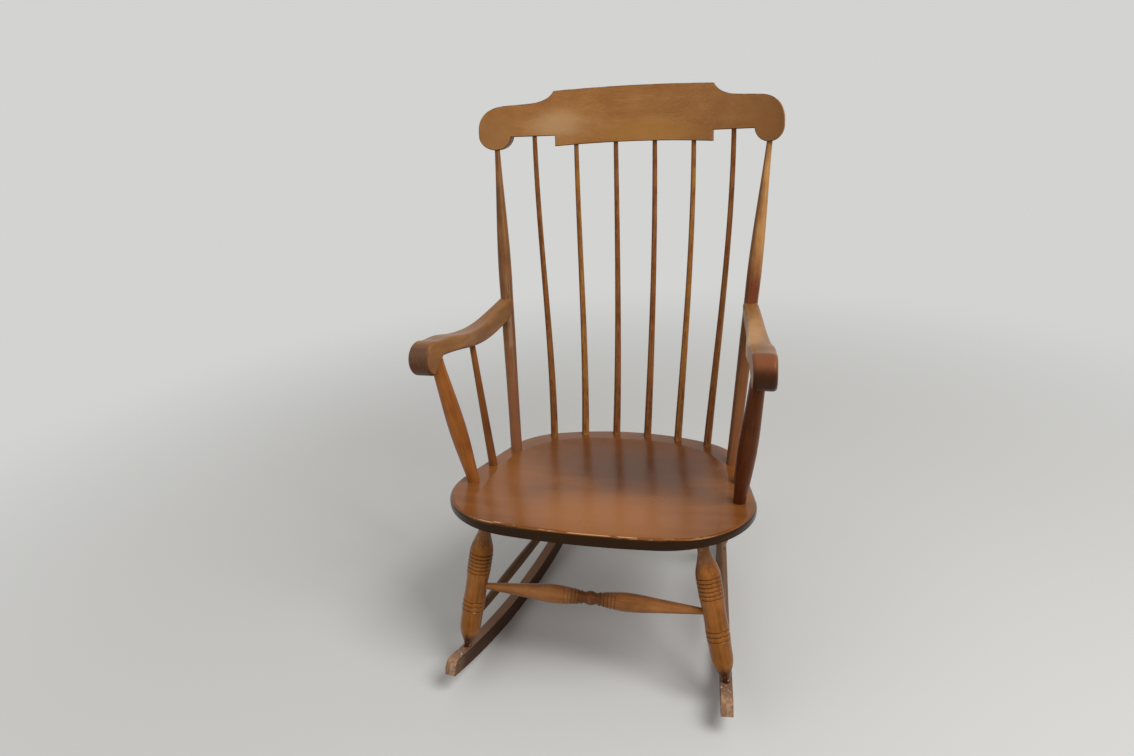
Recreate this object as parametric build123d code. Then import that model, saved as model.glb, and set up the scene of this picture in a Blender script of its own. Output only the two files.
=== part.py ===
from build123d import *
import math
import os

# A wooden rocking chair with a shaped crest rail, bent spindles and scroll arms, in millimetres.
# +X is to the right of someone who stands in front of the chair, -Y is the way the chair faces, +Z is up.
# The floor is Z = 0.  Left and right in the names are as seen from the front.
# The pieces are placed from the line on which the rockers stand, and moved at the end so that the
# origin lies on the floor under the middle of the chair's outer box.
#
# The upper part is laid out on the seat, as a chairmaker does it: x across, v back along the seat's
# top, w square off the top.  The seat itself tips back by SEAT_TILT.

# ---------------------------------------------------------------- fits
TENON_CLEARANCE = 0.1          # glue gap all round a tenon
SOCKET_END_GAP = 0.6           # gap past a tenon's end
MOUTH = 30.0                   # how far a drill is started outside the wood
BLANK = 600.0                  # deeper than any piece that is sawn from its outline
TOUCH = 0.01                   # points nearer than this are the same

# ---------------------------------------------------------------- rockers
ROCKER_RADIUS = 1238.0         # underside
ROCKER_DEPTH = 29.5
ROCKER_THICKNESS = 22.0
ROCKER_FRONT_REACH = 334.0     # from the standing line to the front tip, along the board
ROCKER_REAR_REACH = 428.0
ROCKER_TOE_RADIUS = 20.0       # rounded upper corner at each tip
ROCKER_EDGE_RADIUS = 2.0
WORN_FLAT = 40.0               # length of the flat worn where the chair stands

# ---------------------------------------------------------------- seat
SEAT_HEIGHT = 341.9            # top of the seat at its datum point
SEAT_SETBACK = -84.2           # datum point, from the standing line
SEAT_TILT = 5.07
SEAT_THICKNESS = 31.0
SEAT_FRONT = -209.0            # front edge on the centre line
SEAT_REAR = 272.0
SEAT_FRONT_RADIUS = 1200.0
SEAT_REAR_RADIUS = 430.0
SEAT_SIDE_X = 286.5            # half width at the widest place
SEAT_SIDE_V = -45.0
SEAT_SIDE_TAPER = 13.6         # the sides draw in towards the rear by this angle
SEAT_FRONT_CORNER = 150.0
SEAT_REAR_CORNER = 130.0
SEAT_TOP_ROUND = 7.0
SEAT_BEVEL_ANGLE = 21.0        # of the wide bevel under the edge, from flat
SEAT_BEVEL_FRONT = 25.0        # widths of the bevel in front, at the sides and behind
SEAT_BEVEL_SIDE = 46.0
SEAT_BEVEL_REAR = 20.0
DISH_DEPTH = 9.0               # of the saddling
DISH_HALF_WIDTH = 228.0
DISH_CENTRE = 20.0
DISH_REAR = 226.0
DISH_FRONT = -192.0
DISH_CORNER_POWER = 2.5        # of the superellipse that the hollow fills; 2 is an ellipse
DISH_WALL_POWER = 1.6          # how flat its floor is; 1 is a cone
DISH_FRONT_FADE = 0.75         # how soon it runs out towards the front
DISH_MARGIN = 20.0             # the cutter reaches this far over the seat's edge
DISH_STEPS = 24                # stations of the cutter's floor, each way
DISH_TOLERANCE = 0.05          # of the surface through them

# ---------------------------------------------------------------- legs
FRONT_FOOT_REACH = 261.0       # foot socket, ahead of the standing line
FRONT_FOOT_X = 248.0
REAR_FOOT_REACH = 173.0        # foot socket, behind the standing line
REAR_FOOT_X = 193.0
FRONT_LEG_TOP = (199.3, -119.9)    # x, v where the axis meets the seat's underside
REAR_LEG_TOP = (182.0, 191.6)
FOOT_TENON_DIAMETER = 14.5
FOOT_TENON_LENGTH = 18.0
FOOT_SHOULDER = 3.0            # an ankle widens only this far above the rocker
FOOT_PARALLEL = 4.0            # posts stay parallel this far above the seat
LEG_TENON_LENGTH = 19.0
LEG_ANKLE_DIAMETER = 19.0      # where the bulb begins
LEG_BULB_DIAMETER = 39.6
LEG_BULB_HEIGHT = 48.0         # heights up the leg from the rocker
LEG_ANKLE_HEIGHT = 13.4
LEG_BULB_SHAPE = ((0.52, 0.74), (0.76, 0.93))      # shares of the bulb's height and diameter
LEG_BODY_DIAMETER = 40.4
LEG_LOWER_GROOVES = 84.0       # first groove of the lower block
LEG_LOWER_GROOVE_COUNT = 3
LEG_LOWER_GROOVE_PITCH = 9.0
LEG_LOWER_DIAMETER = 42.0
LEG_UPPER_GROOVES = 163.0      # first groove of the upper block
LEG_UPPER_GROOVE_COUNT = 6
LEG_UPPER_GROOVE_PITCH = 7.6
LEG_UPPER_DIAMETER = 44.0
GROOVE_WIDTH = 3.2             # V-grooves cut with the lathe chisel's point
GROOVE_DEPTH = 1.5
LEG_NECK_DIAMETER = 22.6
LEG_NECK_LENGTH = 26.0         # straight part below the seat
LEG_FLARE_SHAPE = ((0.2, 0.9), (0.55, 0.47), (0.8, 0.15))  # shares of the way up and of the flare left

# ---------------------------------------------------------------- stretchers
FRONT_STRETCHER_HEIGHT = 132.0     # up the front leg from the rocker
SIDE_STRETCHER_FRONT = 54.0        # up the front leg
SIDE_STRETCHER_REAR = 57.0         # up the rear leg
REAR_STRETCHER_HEIGHT = 132.0      # up the rear leg
STRETCHER_TENON_DIAMETER = 12.0
STRETCHER_TENON_LENGTH = 15.0      # measured in from the leg's surface
STRETCHER_TENON_REVEAL = 2.0       # a tenon stays parallel this far outside the leg
FRONT_STRETCHER_SWELL = 34.0
FRONT_STRETCHER_SWELL_REACH = 60.0     # thickest place, from the middle
FRONT_STRETCHER_BEAD = 26.0
FRONT_STRETCHER_BEAD_LENGTH = 16.0
FRONT_STRETCHER_COVE = 20.6            # waist on both sides of the bead
FRONT_STRETCHER_COVE_LENGTH = 7.0
FRONT_STRETCHER_FILLET = 24.6          # small bead beyond the cove
FRONT_STRETCHER_FILLET_LENGTH = 5.0
FRONT_STRETCHER_RINGS = 27.0           # first groove, from the middle
FRONT_STRETCHER_RING_PITCH = 7.0
FRONT_STRETCHER_RING_COUNT = 4
FRONT_STRETCHER_RING_DIAMETER = 27.5   # at the first groove
FRONT_STRETCHER_TAPER = ((0.4, 0.69), (0.75, 0.29))    # shares of the way out and of the swell left
SIDE_STRETCHER_SWELL = 19.0
REAR_STRETCHER_SWELL = 24.0
PLAIN_STRETCHER_SHAPE = (0.45, 0.72)   # share of the way in, and of the swell reached there

# ---------------------------------------------------------------- crest rail
CREST_BACK = 348.3             # v and w of the middle of the crest's lower edge
CREST_HEIGHT = 615.1
CREST_LEAN = 2.5               # back from square to the seat
CREST_RADIUS = 520.0           # bow in plan, to the middle of the thickness
CREST_THICKNESS = 18.0
CREST_PANEL_TOP = 110.0        # heights above the middle of the lower edge
CREST_PANEL_CORNER = (163.2, 104.8)
CREST_SHOULDER = (211.0, 81.0)
CREST_SHOULDER_END = (254.0, 78.0)
CREST_OUTER_POINT = (302.8, 37.0)
CREST_LOBE_CENTRE = (274.8, 19.3)
CREST_LOBE_RADIUS = 28.6
CREST_WING_BOTTOM = 16.2
CREST_STEP_X = 163.3
CREST_STEP_BOTTOM = -5.0
CREST_COVE_START = (0.55, -1.0)    # ways in which the cove leaves the panel and meets the shoulder
CREST_COVE_END = (1.0, -0.1)
CREST_WING_START = (1.0, -0.06)    # way in which the shoulder turns down to the lobe
CREST_EDGE_CHAMFER = 1.4

# ---------------------------------------------------------------- back posts and spindles
POST_FOOT = (226.8, 134.6)     # x, v on the seat
POST_TOP_X = 275.6
POST_FOOT_DIAMETER = 23.6
POST_ARM_DIAMETER = 26.4       # parallel stretch where the arm is let in
POST_ARM_ZONE = (252.0, 330.0)     # heights along the post
POST_TOP_DIAMETER = 10.8
POST_FOOT_SHAPE = (0.6, 0.32)      # share of the way to the arm, and of the widening done there
POST_SHOULDER = 0.28               # share of the way from the arm to the crest that stays parallel
POST_TAPER_SHAPE = (0.6, 0.57)     # share of that way, and of the tapering left there
POST_TOP_TENON = 24.0
POST_FOOT_TENON = 20.0
SPINDLE_COUNT = 6
SPINDLE_FOOT_CENTRE = 251.7    # v of the row of feet on the centre line
SPINDLE_FOOT_RADIUS = 430.0
SPINDLE_FOOT_PITCH = 68.7      # along the row
SPINDLE_TOP_PITCH = 82.0
SPINDLE_FOOT_RAKE = 16.5       # how far back the seat is drilled
SPINDLE_FOOT_DIAMETER = 16.0
SPINDLE_MIDDLE_DIAMETER = 12.0
SPINDLE_TOP_DIAMETER = 9.5
SPINDLE_FOOT_TENON = 18.0
SPINDLE_TOP_TENON = 18.0

# ---------------------------------------------------------------- arms
ARM_NOSE_CENTRE = (-106.0, 268.5)  # v, w of the scroll's round
ARM_NOSE_RADIUS = 31.5
ARM_NOSE_LOW = (-114.0, 238.2)     # where the flat that takes the post starts
ARM_NOSE_HIGH = (-82.0, 267.0)
ARM_NOSE_SLOPE = 15.07             # fall of the top line where it leaves the scroll
ARM_TOP_LINE = (                   # v, w of the sawn top and bottom
    (-53.0, 296.0), (-13.0, 289.0), (28.0, 283.6), (67.0, 282.9), (107.0, 287.9), (147.0, 298.0),
)
ARM_BOTTOM_LINE = (
    (-52.0, 265.5), (-12.0, 260.5), (28.0, 254.4), (68.0, 251.2), (108.0, 252.6), (148.0, 259.2),
)
ARM_REAR_TOP = (195.0, 313.0)
ARM_REAR_BOTTOM = (197.0, 273.0)
ARM_REAR_SLOPE = 18.8              # rise of the top line at its rear end
ARM_INNER_LINE = (                 # v, x of the sides seen from above
    (-140.0, 283.0), (-73.0, 269.5), (-13.0, 260.5), (67.0, 255.0), (120.0, 250.5), (197.0, 237.0),
)
ARM_OUTER_LINE = (
    (-140.0, 321.0), (-73.0, 314.5), (-13.0, 307.0), (67.0, 294.5), (120.0, 284.5), (197.0, 267.0),
)
ARM_EDGE_RADIUS = 7.0
ARM_TENON_DIAMETER = 13.0
ARM_TENON_LENGTH = 17.0            # into the back post
ARM_TENON_ROOT = 25.0              # its round stock, inside the arm's end
ARM_TENON_RUN = 40.0               # it follows the arm's line over this length
ARM_POST_FOOT = (255.9, -36.6)
ARM_POST_TOP = (286.4, -81.0, 240.0)
ARM_POST_FOOT_DIAMETER = 22.6
ARM_POST_SWELL = 33.2
ARM_POST_TOP_DIAMETER = 25.0
ARM_POST_SWELL_SHARE = 0.45        # of the post's length, where the swell is
ARM_POST_LOWER_SHAPE = (0.2, 0.5)  # share of the length, and of the swelling there
ARM_POST_UPPER_SHAPE = (0.8, 0.5)
ARM_POST_TOP_TENON = 18.0
ARM_SPINDLE_FOOT = (245.7, 43.8)
ARM_SPINDLE_TOP_V = 55.0
ARM_SPINDLE_FOOT_DIAMETER = 17.3
ARM_SPINDLE_TOP_DIAMETER = 11.7
ARM_SPINDLE_TOP_TENON = 16.0
ARM_FOOT_TENON = 19.0

SEAT = Plane(
    origin=(0, SEAT_SETBACK, SEAT_HEIGHT),
    x_dir=(1, 0, 0),
    z_dir=(0, math.sin(math.radians(SEAT_TILT)), math.cos(math.radians(SEAT_TILT))),
)
FROM_BASE = (Align.CENTER, Align.CENTER, Align.MIN)


# ---------------------------------------------------------------- helpers
def on_seat(x, v, w=0.0):
    """A point given across, along and off the seat, in the chair's frame."""
    return SEAT.from_local_coords(Vector(x, v, w))


def seat_direction(x, v, w):
    """A direction given in the seat's axes."""
    return (on_seat(x, v, w) - on_seat(0, 0, 0)).normalized()


def same_place(shape, point):
    """Whether the middle of a vertex or an edge is at the point."""
    return (shape.center() - point).length < TOUCH


def along(start, end):
    """A plane at start whose Z points to end."""
    return Plane(origin=start, z_dir=end - start)


def drill(mouth, direction, diameter, depth):
    """The round hole for a tenon that goes depth deep from the mouth along the direction."""
    radius = diameter / 2 + TENON_CLEARANCE
    start = mouth - direction * MOUTH
    length = MOUTH + depth + SOCKET_END_GAP
    return Plane(origin=start, z_dir=direction) * Cylinder(radius, length, align=FROM_BASE)


def between(low, high, share):
    """The value that share of the way from low to high gives."""
    return low + (high - low) * share


def pin(mouth, direction, diameter, depth):
    """A round tenon of one diameter."""
    return Plane(origin=mouth, z_dir=direction) * Cylinder(diameter / 2, depth, align=FROM_BASE)


def bead(low, high, base, crown):
    """One round ring of a turning, from the height low to high."""
    return ThreePointArc((base / 2, 0, low), (crown / 2, 0, (low + high) / 2), (base / 2, 0, high))


def taper(*stations):
    """A smooth run of a turning through (height, diameter) stations."""
    points = [(diameter / 2, 0, height) for height, diameter in stations]
    if len(points) == 2:
        return Line(*points)
    return Spline(*points)


def turned(profile, base, plane):
    """A lathe piece: the profile is a list of edges from the bottom up, the base its lowest height."""
    first = profile[0] @ 0
    last = profile[-1] @ 1
    axis_low = (0, 0, base)
    axis_high = (0, 0, last.Z)
    outline = [Line(axis_low, first)] + profile + [Line(last, axis_high), Line(axis_high, axis_low)]
    return plane * revolve(make_face(outline), Axis.Z)


def unmoved(part):
    """The piece as it is, on the right."""
    return part


def mirrored(part):
    """The same piece on the other side of the chair."""
    return mirror(part, Plane.YZ)


# ---------------------------------------------------------------- rockers
def rocker_plane():
    """The board's own plane: X back along the board, Y up, origin on the floor at the standing line."""
    back = Vector(REAR_FOOT_X - FRONT_FOOT_X, REAR_FOOT_REACH + FRONT_FOOT_REACH, 0).normalized()
    share = FRONT_FOOT_REACH / (FRONT_FOOT_REACH + REAR_FOOT_REACH)
    origin = Vector(FRONT_FOOT_X + (REAR_FOOT_X - FRONT_FOOT_X) * share, 0, 0)
    return Plane(origin=origin, x_dir=back, z_dir=back.cross(Vector(0, 0, 1)))


ROCKER_PLANE = rocker_plane()
ROCKER_CENTRE_HEIGHT = math.sqrt(ROCKER_RADIUS**2 - (WORN_FLAT / 2) ** 2)


def rocker_point(reach, radius):
    """A point of the rocker's plane on the given radius, reach behind the standing line."""
    return Vector(reach, ROCKER_CENTRE_HEIGHT - math.sqrt(radius**2 - reach**2))


def foot_point(reach_in_y, depth):
    """The place in the middle of a rocker's thickness, depth below its top, at a distance in Y."""
    reach = reach_in_y / ROCKER_PLANE.x_dir.Y
    point = rocker_point(reach, ROCKER_RADIUS - ROCKER_DEPTH + depth)
    return ROCKER_PLANE.from_local_coords(Vector(point.X, point.Y, 0))


def is_upper_rim(edge):
    """Whether a rocker's edge runs along a side face above the sole."""
    place = ROCKER_PLANE.to_local_coords(edge.center())
    from_centre = math.hypot(place.X, place.Y - ROCKER_CENTRE_HEIGHT)
    on_a_side = abs(abs(place.Z) - ROCKER_THICKNESS / 2) < TOUCH
    return on_a_side and place.Y > TOUCH and from_centre < ROCKER_RADIUS - ROCKER_EDGE_RADIUS / 2


def make_rocker():
    """A bow sawn from a board, flat where the chair stands, with rounded tips."""
    top_radius = ROCKER_RADIUS - ROCKER_DEPTH
    front = -ROCKER_FRONT_REACH
    rear = ROCKER_REAR_REACH
    flat = WORN_FLAT / 2
    front_tip = rocker_point(front, ROCKER_RADIUS)
    rear_tip = rocker_point(rear, ROCKER_RADIUS)
    lower_front = ThreePointArc(front_tip, rocker_point((front - flat) / 2, ROCKER_RADIUS), (-flat, 0))
    lower_rear = ThreePointArc((flat, 0), rocker_point((rear + flat) / 2, ROCKER_RADIUS), rear_tip)
    top_front = rocker_point(front * top_radius / ROCKER_RADIUS, top_radius)
    top_rear = rocker_point(rear * top_radius / ROCKER_RADIUS, top_radius)
    upper = ThreePointArc(top_front, rocker_point(0, top_radius), top_rear)
    outline = [
        lower_front,
        Line((-flat, 0), (flat, 0)),
        lower_rear,
        Line(rear_tip, top_rear),
        upper,
        Line(top_front, front_tip),
    ]
    face = make_face(outline)
    toes = [c for c in face.vertices() if same_place(c, top_front) or same_place(c, top_rear)]
    face = fillet(toes, ROCKER_TOE_RADIUS)
    board = extrude(ROCKER_PLANE * face, amount=ROCKER_THICKNESS / 2, both=True)
    rims = [edge for edge in board.edges() if is_upper_rim(edge)]
    return fillet(rims, ROCKER_EDGE_RADIUS)


# ---------------------------------------------------------------- seat
def seat_outline(front_inset=0.0, side_inset=0.0, rear_inset=0.0):
    """The seat's plan: bowed front and rear, sides that draw in towards the rear, round corners."""
    front_v = SEAT_FRONT + front_inset
    rear_v = SEAT_REAR - rear_inset
    half_width = SEAT_SIDE_X - side_inset
    front_corner = SEAT_FRONT_CORNER - side_inset / 2
    rear_corner = SEAT_REAR_CORNER - side_inset / 2
    lean = math.radians(SEAT_SIDE_TAPER)
    # The side line touches the front corner's circle, whose widest point is the half width.
    touch_x = half_width - front_corner + front_corner * math.cos(lean)
    touch_v = SEAT_SIDE_V + front_corner * math.sin(lean)

    def side_x(v):
        return touch_x - (v - touch_v) * math.tan(lean)

    far = 2 * half_width           # past both sides
    drop = SEAT_FRONT_RADIUS - math.sqrt(SEAT_FRONT_RADIUS**2 - far**2)
    front = make_face([
        ThreePointArc((-far, front_v + drop), (0, front_v), (far, front_v + drop)),
        Polyline((far, front_v + drop), (far, far), (-far, far), (-far, front_v + drop)),
    ])
    rear = Pos(0, rear_v - SEAT_REAR_RADIUS) * Circle(SEAT_REAR_RADIUS)
    low = 2 * front_v
    low_x = side_x(low)
    rear_x = side_x(rear_v)
    sides = make_face(Polyline((low_x, low), (rear_x, rear_v), (-rear_x, rear_v), (-low_x, low), close=True))
    slab = (front & rear & sides).face()
    slab = fillet([corner for corner in slab.vertices() if corner.Y > 0], rear_corner).face()
    corners = [c for c in slab.vertices() if c.Y < front_v / 2 and abs(c.X) > half_width / 2]
    return fillet(corners, front_corner).face()


def dish_height(x, v):
    """Height of the saddled hollow over the seat's flat: below zero inside it, above zero outside."""
    across = (abs(x) / DISH_HALF_WIDTH) ** DISH_CORNER_POWER
    if v > DISH_CENTRE:
        back = ((v - DISH_CENTRE) / (DISH_REAR - DISH_CENTRE)) ** DISH_CORNER_POWER
        return DISH_DEPTH * ((across + back) ** DISH_WALL_POWER - 1)
    forward = ((DISH_CENTRE - v) / (DISH_CENTRE - DISH_FRONT)) ** 2
    fade = (1 - forward) * (1 - DISH_FRONT_FADE * forward)
    return -DISH_DEPTH * fade * (1 - across**DISH_WALL_POWER)


def make_dish():
    """The wood that the saddling takes away, as a block over a curved floor."""
    half = SEAT_SIDE_X + DISH_MARGIN
    low = SEAT_FRONT - DISH_MARGIN
    high = SEAT_REAR + DISH_MARGIN
    rows = []
    for i in range(DISH_STEPS + 1):
        x = -half + 2 * half * i / DISH_STEPS
        places = [low + (high - low) * j / DISH_STEPS for j in range(DISH_STEPS + 1)]
        rows.append([Vector(x, v, dish_height(x, v)) for v in places])
    floor = Face.make_surface_from_array_of_points(rows, tol=DISH_TOLERANCE)
    return extrude(floor, amount=2 * SEAT_THICKNESS, dir=(0, 0, 1))


def make_seat():
    """The saddled slab, before its sockets are drilled."""
    slab = extrude(seat_outline(), amount=-SEAT_THICKNESS)
    rim = slab.faces().sort_by(Axis.Z)[-1].edges()
    slab = fillet(rim, SEAT_TOP_ROUND)
    flat = seat_outline(SEAT_BEVEL_FRONT, SEAT_BEVEL_SIDE, SEAT_BEVEL_REAR)
    flat = Pos(0, 0, -SEAT_THICKNESS) * flat
    slab &= extrude(flat, amount=SEAT_THICKNESS, taper=SEAT_BEVEL_ANGLE - 90)
    return SEAT * (slab - make_dish())


# ---------------------------------------------------------------- legs
def grooves(start, count, pitch, low_diameter, high_diameter):
    """A row of V-grooves with straight ribs between them; the diameter runs evenly from end to end."""
    points = []
    for i in range(count):
        share = i / (count - 1)
        radius = (low_diameter + (high_diameter - low_diameter) * share) / 2
        middle = start + i * pitch
        points += [
            (radius, 0, middle - GROOVE_WIDTH / 2),
            (radius - GROOVE_DEPTH, 0, middle),
            (radius, 0, middle + GROOVE_WIDTH / 2),
        ]
    return [Line(a, b) for a, b in zip(points, points[1:])]


def make_leg(foot, top):
    """A turned leg from the point on the rocker's top to the point on the seat's underside."""
    length = (top - foot).length
    lower = LEG_LOWER_GROOVES - GROOVE_WIDTH / 2
    lower_end = lower + (LEG_LOWER_GROOVE_COUNT - 1) * LEG_LOWER_GROOVE_PITCH + GROOVE_WIDTH
    upper = LEG_UPPER_GROOVES - GROOVE_WIDTH / 2
    upper_end = upper + (LEG_UPPER_GROOVE_COUNT - 1) * LEG_UPPER_GROOVE_PITCH + GROOVE_WIDTH
    neck = length - LEG_NECK_LENGTH
    run = neck - upper_end
    profile = [
        taper((-FOOT_TENON_LENGTH, FOOT_TENON_DIAMETER), (FOOT_SHOULDER, FOOT_TENON_DIAMETER)),
        taper(
            (FOOT_SHOULDER, FOOT_TENON_DIAMETER),
            (LEG_ANKLE_HEIGHT, LEG_ANKLE_DIAMETER),
            *((LEG_BULB_HEIGHT * up, LEG_BULB_DIAMETER * wide) for up, wide in LEG_BULB_SHAPE),
            (LEG_BULB_HEIGHT, LEG_BULB_DIAMETER),
            (lower, LEG_LOWER_DIAMETER),
        ),
    ]
    profile += grooves(
        LEG_LOWER_GROOVES, LEG_LOWER_GROOVE_COUNT, LEG_LOWER_GROOVE_PITCH,
        LEG_LOWER_DIAMETER, LEG_LOWER_DIAMETER,
    )
    profile.append(taper(
        (lower_end, LEG_LOWER_DIAMETER),
        (between(lower_end, upper, 0.5), LEG_BODY_DIAMETER),
        (upper, LEG_UPPER_DIAMETER),
    ))
    profile += grooves(
        LEG_UPPER_GROOVES, LEG_UPPER_GROOVE_COUNT, LEG_UPPER_GROOVE_PITCH,
        LEG_UPPER_DIAMETER, LEG_UPPER_DIAMETER,
    )
    profile += [
        taper(
            (upper_end, LEG_UPPER_DIAMETER),
            *((upper_end + run * up, between(LEG_NECK_DIAMETER, LEG_UPPER_DIAMETER, left))
              for up, left in LEG_FLARE_SHAPE),
            (neck, LEG_NECK_DIAMETER),
        ),
        taper((neck, LEG_NECK_DIAMETER), (length + LEG_TENON_LENGTH, LEG_NECK_DIAMETER)),
    ]
    return turned(profile, -FOOT_TENON_LENGTH, along(foot, top))


def leg_radius(height):
    """The leg's radius in the parallel parts that the stretchers go into."""
    if height < LEG_LOWER_GROOVES:
        return LEG_BULB_DIAMETER / 2
    return LEG_BODY_DIAMETER / 2


# ---------------------------------------------------------------- stretchers
def stretcher_ends(start, end, start_radius, end_radius):
    """The tenons' end points, inside the legs."""
    direction = (end - start).normalized()
    first = start + direction * (start_radius - STRETCHER_TENON_LENGTH)
    last = end - direction * (end_radius - STRETCHER_TENON_LENGTH)
    return first, last


def make_plain_stretcher(start, end, start_radius, end_radius, swell):
    """A turned bar with one long swell."""
    first, last = stretcher_ends(start, end, start_radius, end_radius)
    length = (last - first).length
    tenon = STRETCHER_TENON_DIAMETER
    inner = STRETCHER_TENON_LENGTH + STRETCHER_TENON_REVEAL
    way_in, reached = PLAIN_STRETCHER_SHAPE
    haunch = between(inner, length / 2, way_in)
    haunch_diameter = between(tenon, swell, reached)
    profile = [
        taper((0, tenon), (inner, tenon)),
        taper(
            (inner, tenon),
            (haunch, haunch_diameter),
            (length / 2, swell),
            (length - haunch, haunch_diameter),
            (length - inner, tenon),
        ),
        taper((length - inner, tenon), (length, tenon)),
    ]
    return turned(profile, 0, along(first, last))


def front_stretcher_half(half):
    """The edges of half the front stretcher's profile, from its middle out to the tenon's end."""
    tenon_start = half - STRETCHER_TENON_LENGTH - STRETCHER_TENON_REVEAL
    cove_start = FRONT_STRETCHER_BEAD_LENGTH / 2
    fillet_start = cove_start + FRONT_STRETCHER_COVE_LENGTH
    fillet_end = fillet_start + FRONT_STRETCHER_FILLET_LENGTH
    shoulder = FRONT_STRETCHER_COVE + GROOVE_DEPTH
    rings = FRONT_STRETCHER_RINGS - GROOVE_WIDTH / 2
    ring_end = rings + (FRONT_STRETCHER_RING_COUNT - 1) * FRONT_STRETCHER_RING_PITCH + GROOVE_WIDTH
    tenon = STRETCHER_TENON_DIAMETER
    swell = FRONT_STRETCHER_SWELL
    profile = [
        TangentArc((FRONT_STRETCHER_BEAD / 2, 0, 0), (shoulder / 2, 0, cove_start), tangent=(0, 0, 1)),
        ThreePointArc(
            (shoulder / 2, 0, cove_start),
            (FRONT_STRETCHER_COVE / 2, 0, (cove_start + fillet_start) / 2),
            (shoulder / 2, 0, fillet_start),
        ),
        bead(fillet_start, fillet_end, shoulder, FRONT_STRETCHER_FILLET),
        taper((fillet_end, shoulder), (rings, FRONT_STRETCHER_RING_DIAMETER)),
    ]
    profile += grooves(
        FRONT_STRETCHER_RINGS, FRONT_STRETCHER_RING_COUNT, FRONT_STRETCHER_RING_PITCH,
        FRONT_STRETCHER_RING_DIAMETER, swell - GROOVE_DEPTH,
    )
    profile += [
        taper(
            (ring_end, swell - GROOVE_DEPTH),
            (FRONT_STRETCHER_SWELL_REACH, swell),
            *((between(FRONT_STRETCHER_SWELL_REACH, tenon_start, out), between(tenon, swell, left))
              for out, left in FRONT_STRETCHER_TAPER),
            (tenon_start, tenon),
        ),
        taper((tenon_start, tenon), (half, tenon)),
    ]
    return profile


def make_front_stretcher(start, end, radius):
    """The turned bar that shows: a bead between coves, rings on both sides and long tapers."""
    first, last = stretcher_ends(start, end, radius, radius)
    centre = (first + last) * 0.5
    profile = front_stretcher_half((last - first).length / 2)
    half = turned(profile, 0, along(centre, last))
    return half + mirrored(half)


# ---------------------------------------------------------------- crest rail
def crest_plane():
    """The crest's own plane: X across, Y up the board, Z out of its front face."""
    lean = math.radians(CREST_LEAN)
    up = seat_direction(0, math.sin(lean), math.cos(lean))
    forward = Vector(1, 0, 0).cross(up)
    return Plane(origin=on_seat(0, CREST_BACK, CREST_HEIGHT), x_dir=(1, 0, 0), z_dir=forward)


CREST = crest_plane()


def crest_point(x, height):
    """A point in the middle of the crest's thickness."""
    forward = CREST_RADIUS - math.sqrt(CREST_RADIUS**2 - x**2)
    return CREST.from_local_coords(Vector(x, height, forward))


def crest_lower_edge(x):
    """Height of the arched lower edge between the steps."""
    drop = -CREST_STEP_BOTTOM
    radius = (CREST_STEP_X**2 + drop**2) / (2 * drop)
    return math.sqrt(radius**2 - x**2) - radius


def crest_outline():
    """The sawn outline: raised panel, coves, shoulders, round lobes and stepped lower edge."""
    corner = Vector(*CREST_PANEL_CORNER)
    shoulder = Vector(*CREST_SHOULDER)
    shoulder_end = Vector(*CREST_SHOULDER_END)
    outer = Vector(*CREST_OUTER_POINT)
    lobe = Vector(*CREST_LOBE_CENTRE)
    inner_drop = lobe.Y - CREST_WING_BOTTOM
    lobe_inner = Vector(lobe.X - math.sqrt(CREST_LOBE_RADIUS**2 - inner_drop**2), CREST_WING_BOTTOM)
    lobe_outer = Vector(lobe.X + CREST_LOBE_RADIUS, lobe.Y)
    lobe_low = Vector(lobe.X, lobe.Y - CREST_LOBE_RADIUS)
    right = [
        ThreePointArc((-corner.X, corner.Y), (0, CREST_PANEL_TOP), (corner.X, corner.Y)),
        Spline(corner, shoulder, tangents=[CREST_COVE_START, CREST_COVE_END]),
        Line(shoulder, shoulder_end),
        Spline(shoulder_end, outer, lobe_outer, tangents=[CREST_WING_START, (0, -1)]),
        ThreePointArc(lobe_outer, lobe_low, lobe_inner),
        Line(lobe_inner, (CREST_STEP_X, CREST_WING_BOTTOM)),
        Line((CREST_STEP_X, CREST_WING_BOTTOM), (CREST_STEP_X, CREST_STEP_BOTTOM)),
    ]
    arch = ThreePointArc((CREST_STEP_X, CREST_STEP_BOTTOM), (0, 0), (-CREST_STEP_X, CREST_STEP_BOTTOM))
    left = [mirror(edge, Plane.YZ) for edge in right[1:]]
    return make_face(right + [arch] + left)


def make_crest():
    """The outline sawn through a board that is bowed in plan."""
    inner = CREST_RADIUS - CREST_THICKNESS / 2
    outer = CREST_RADIUS + CREST_THICKNESS / 2
    ring = Pos(0, CREST_RADIUS) * (Circle(outer) - Circle(inner))
    half_depth = CREST_RADIUS + 2 * CREST_THICKNESS
    front_half = Pos(0, CREST_RADIUS / 2) * Rectangle(4 * CREST_RADIUS, half_depth)
    plan = ring & front_half
    # The plan lies across the board: its Y is the crest's Z.
    slab = Plane(origin=(0, -CREST_LOBE_RADIUS, 0), x_dir=(1, 0, 0), z_dir=(0, -1, 0)) * plan
    board = extrude(slab, amount=-(CREST_PANEL_TOP + 2 * CREST_LOBE_RADIUS), dir=(0, -1, 0))
    outline = crest_outline()
    rail = board & (extrude(outline, amount=CREST_RADIUS) + extrude(outline, amount=-2 * CREST_THICKNESS))
    broad_faces = rail.faces().sort_by(SortBy.AREA)[-2:]
    rims = [edge for face in broad_faces for edge in face.edges()]
    return CREST * chamfer(rims, CREST_EDGE_CHAMFER)


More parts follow.
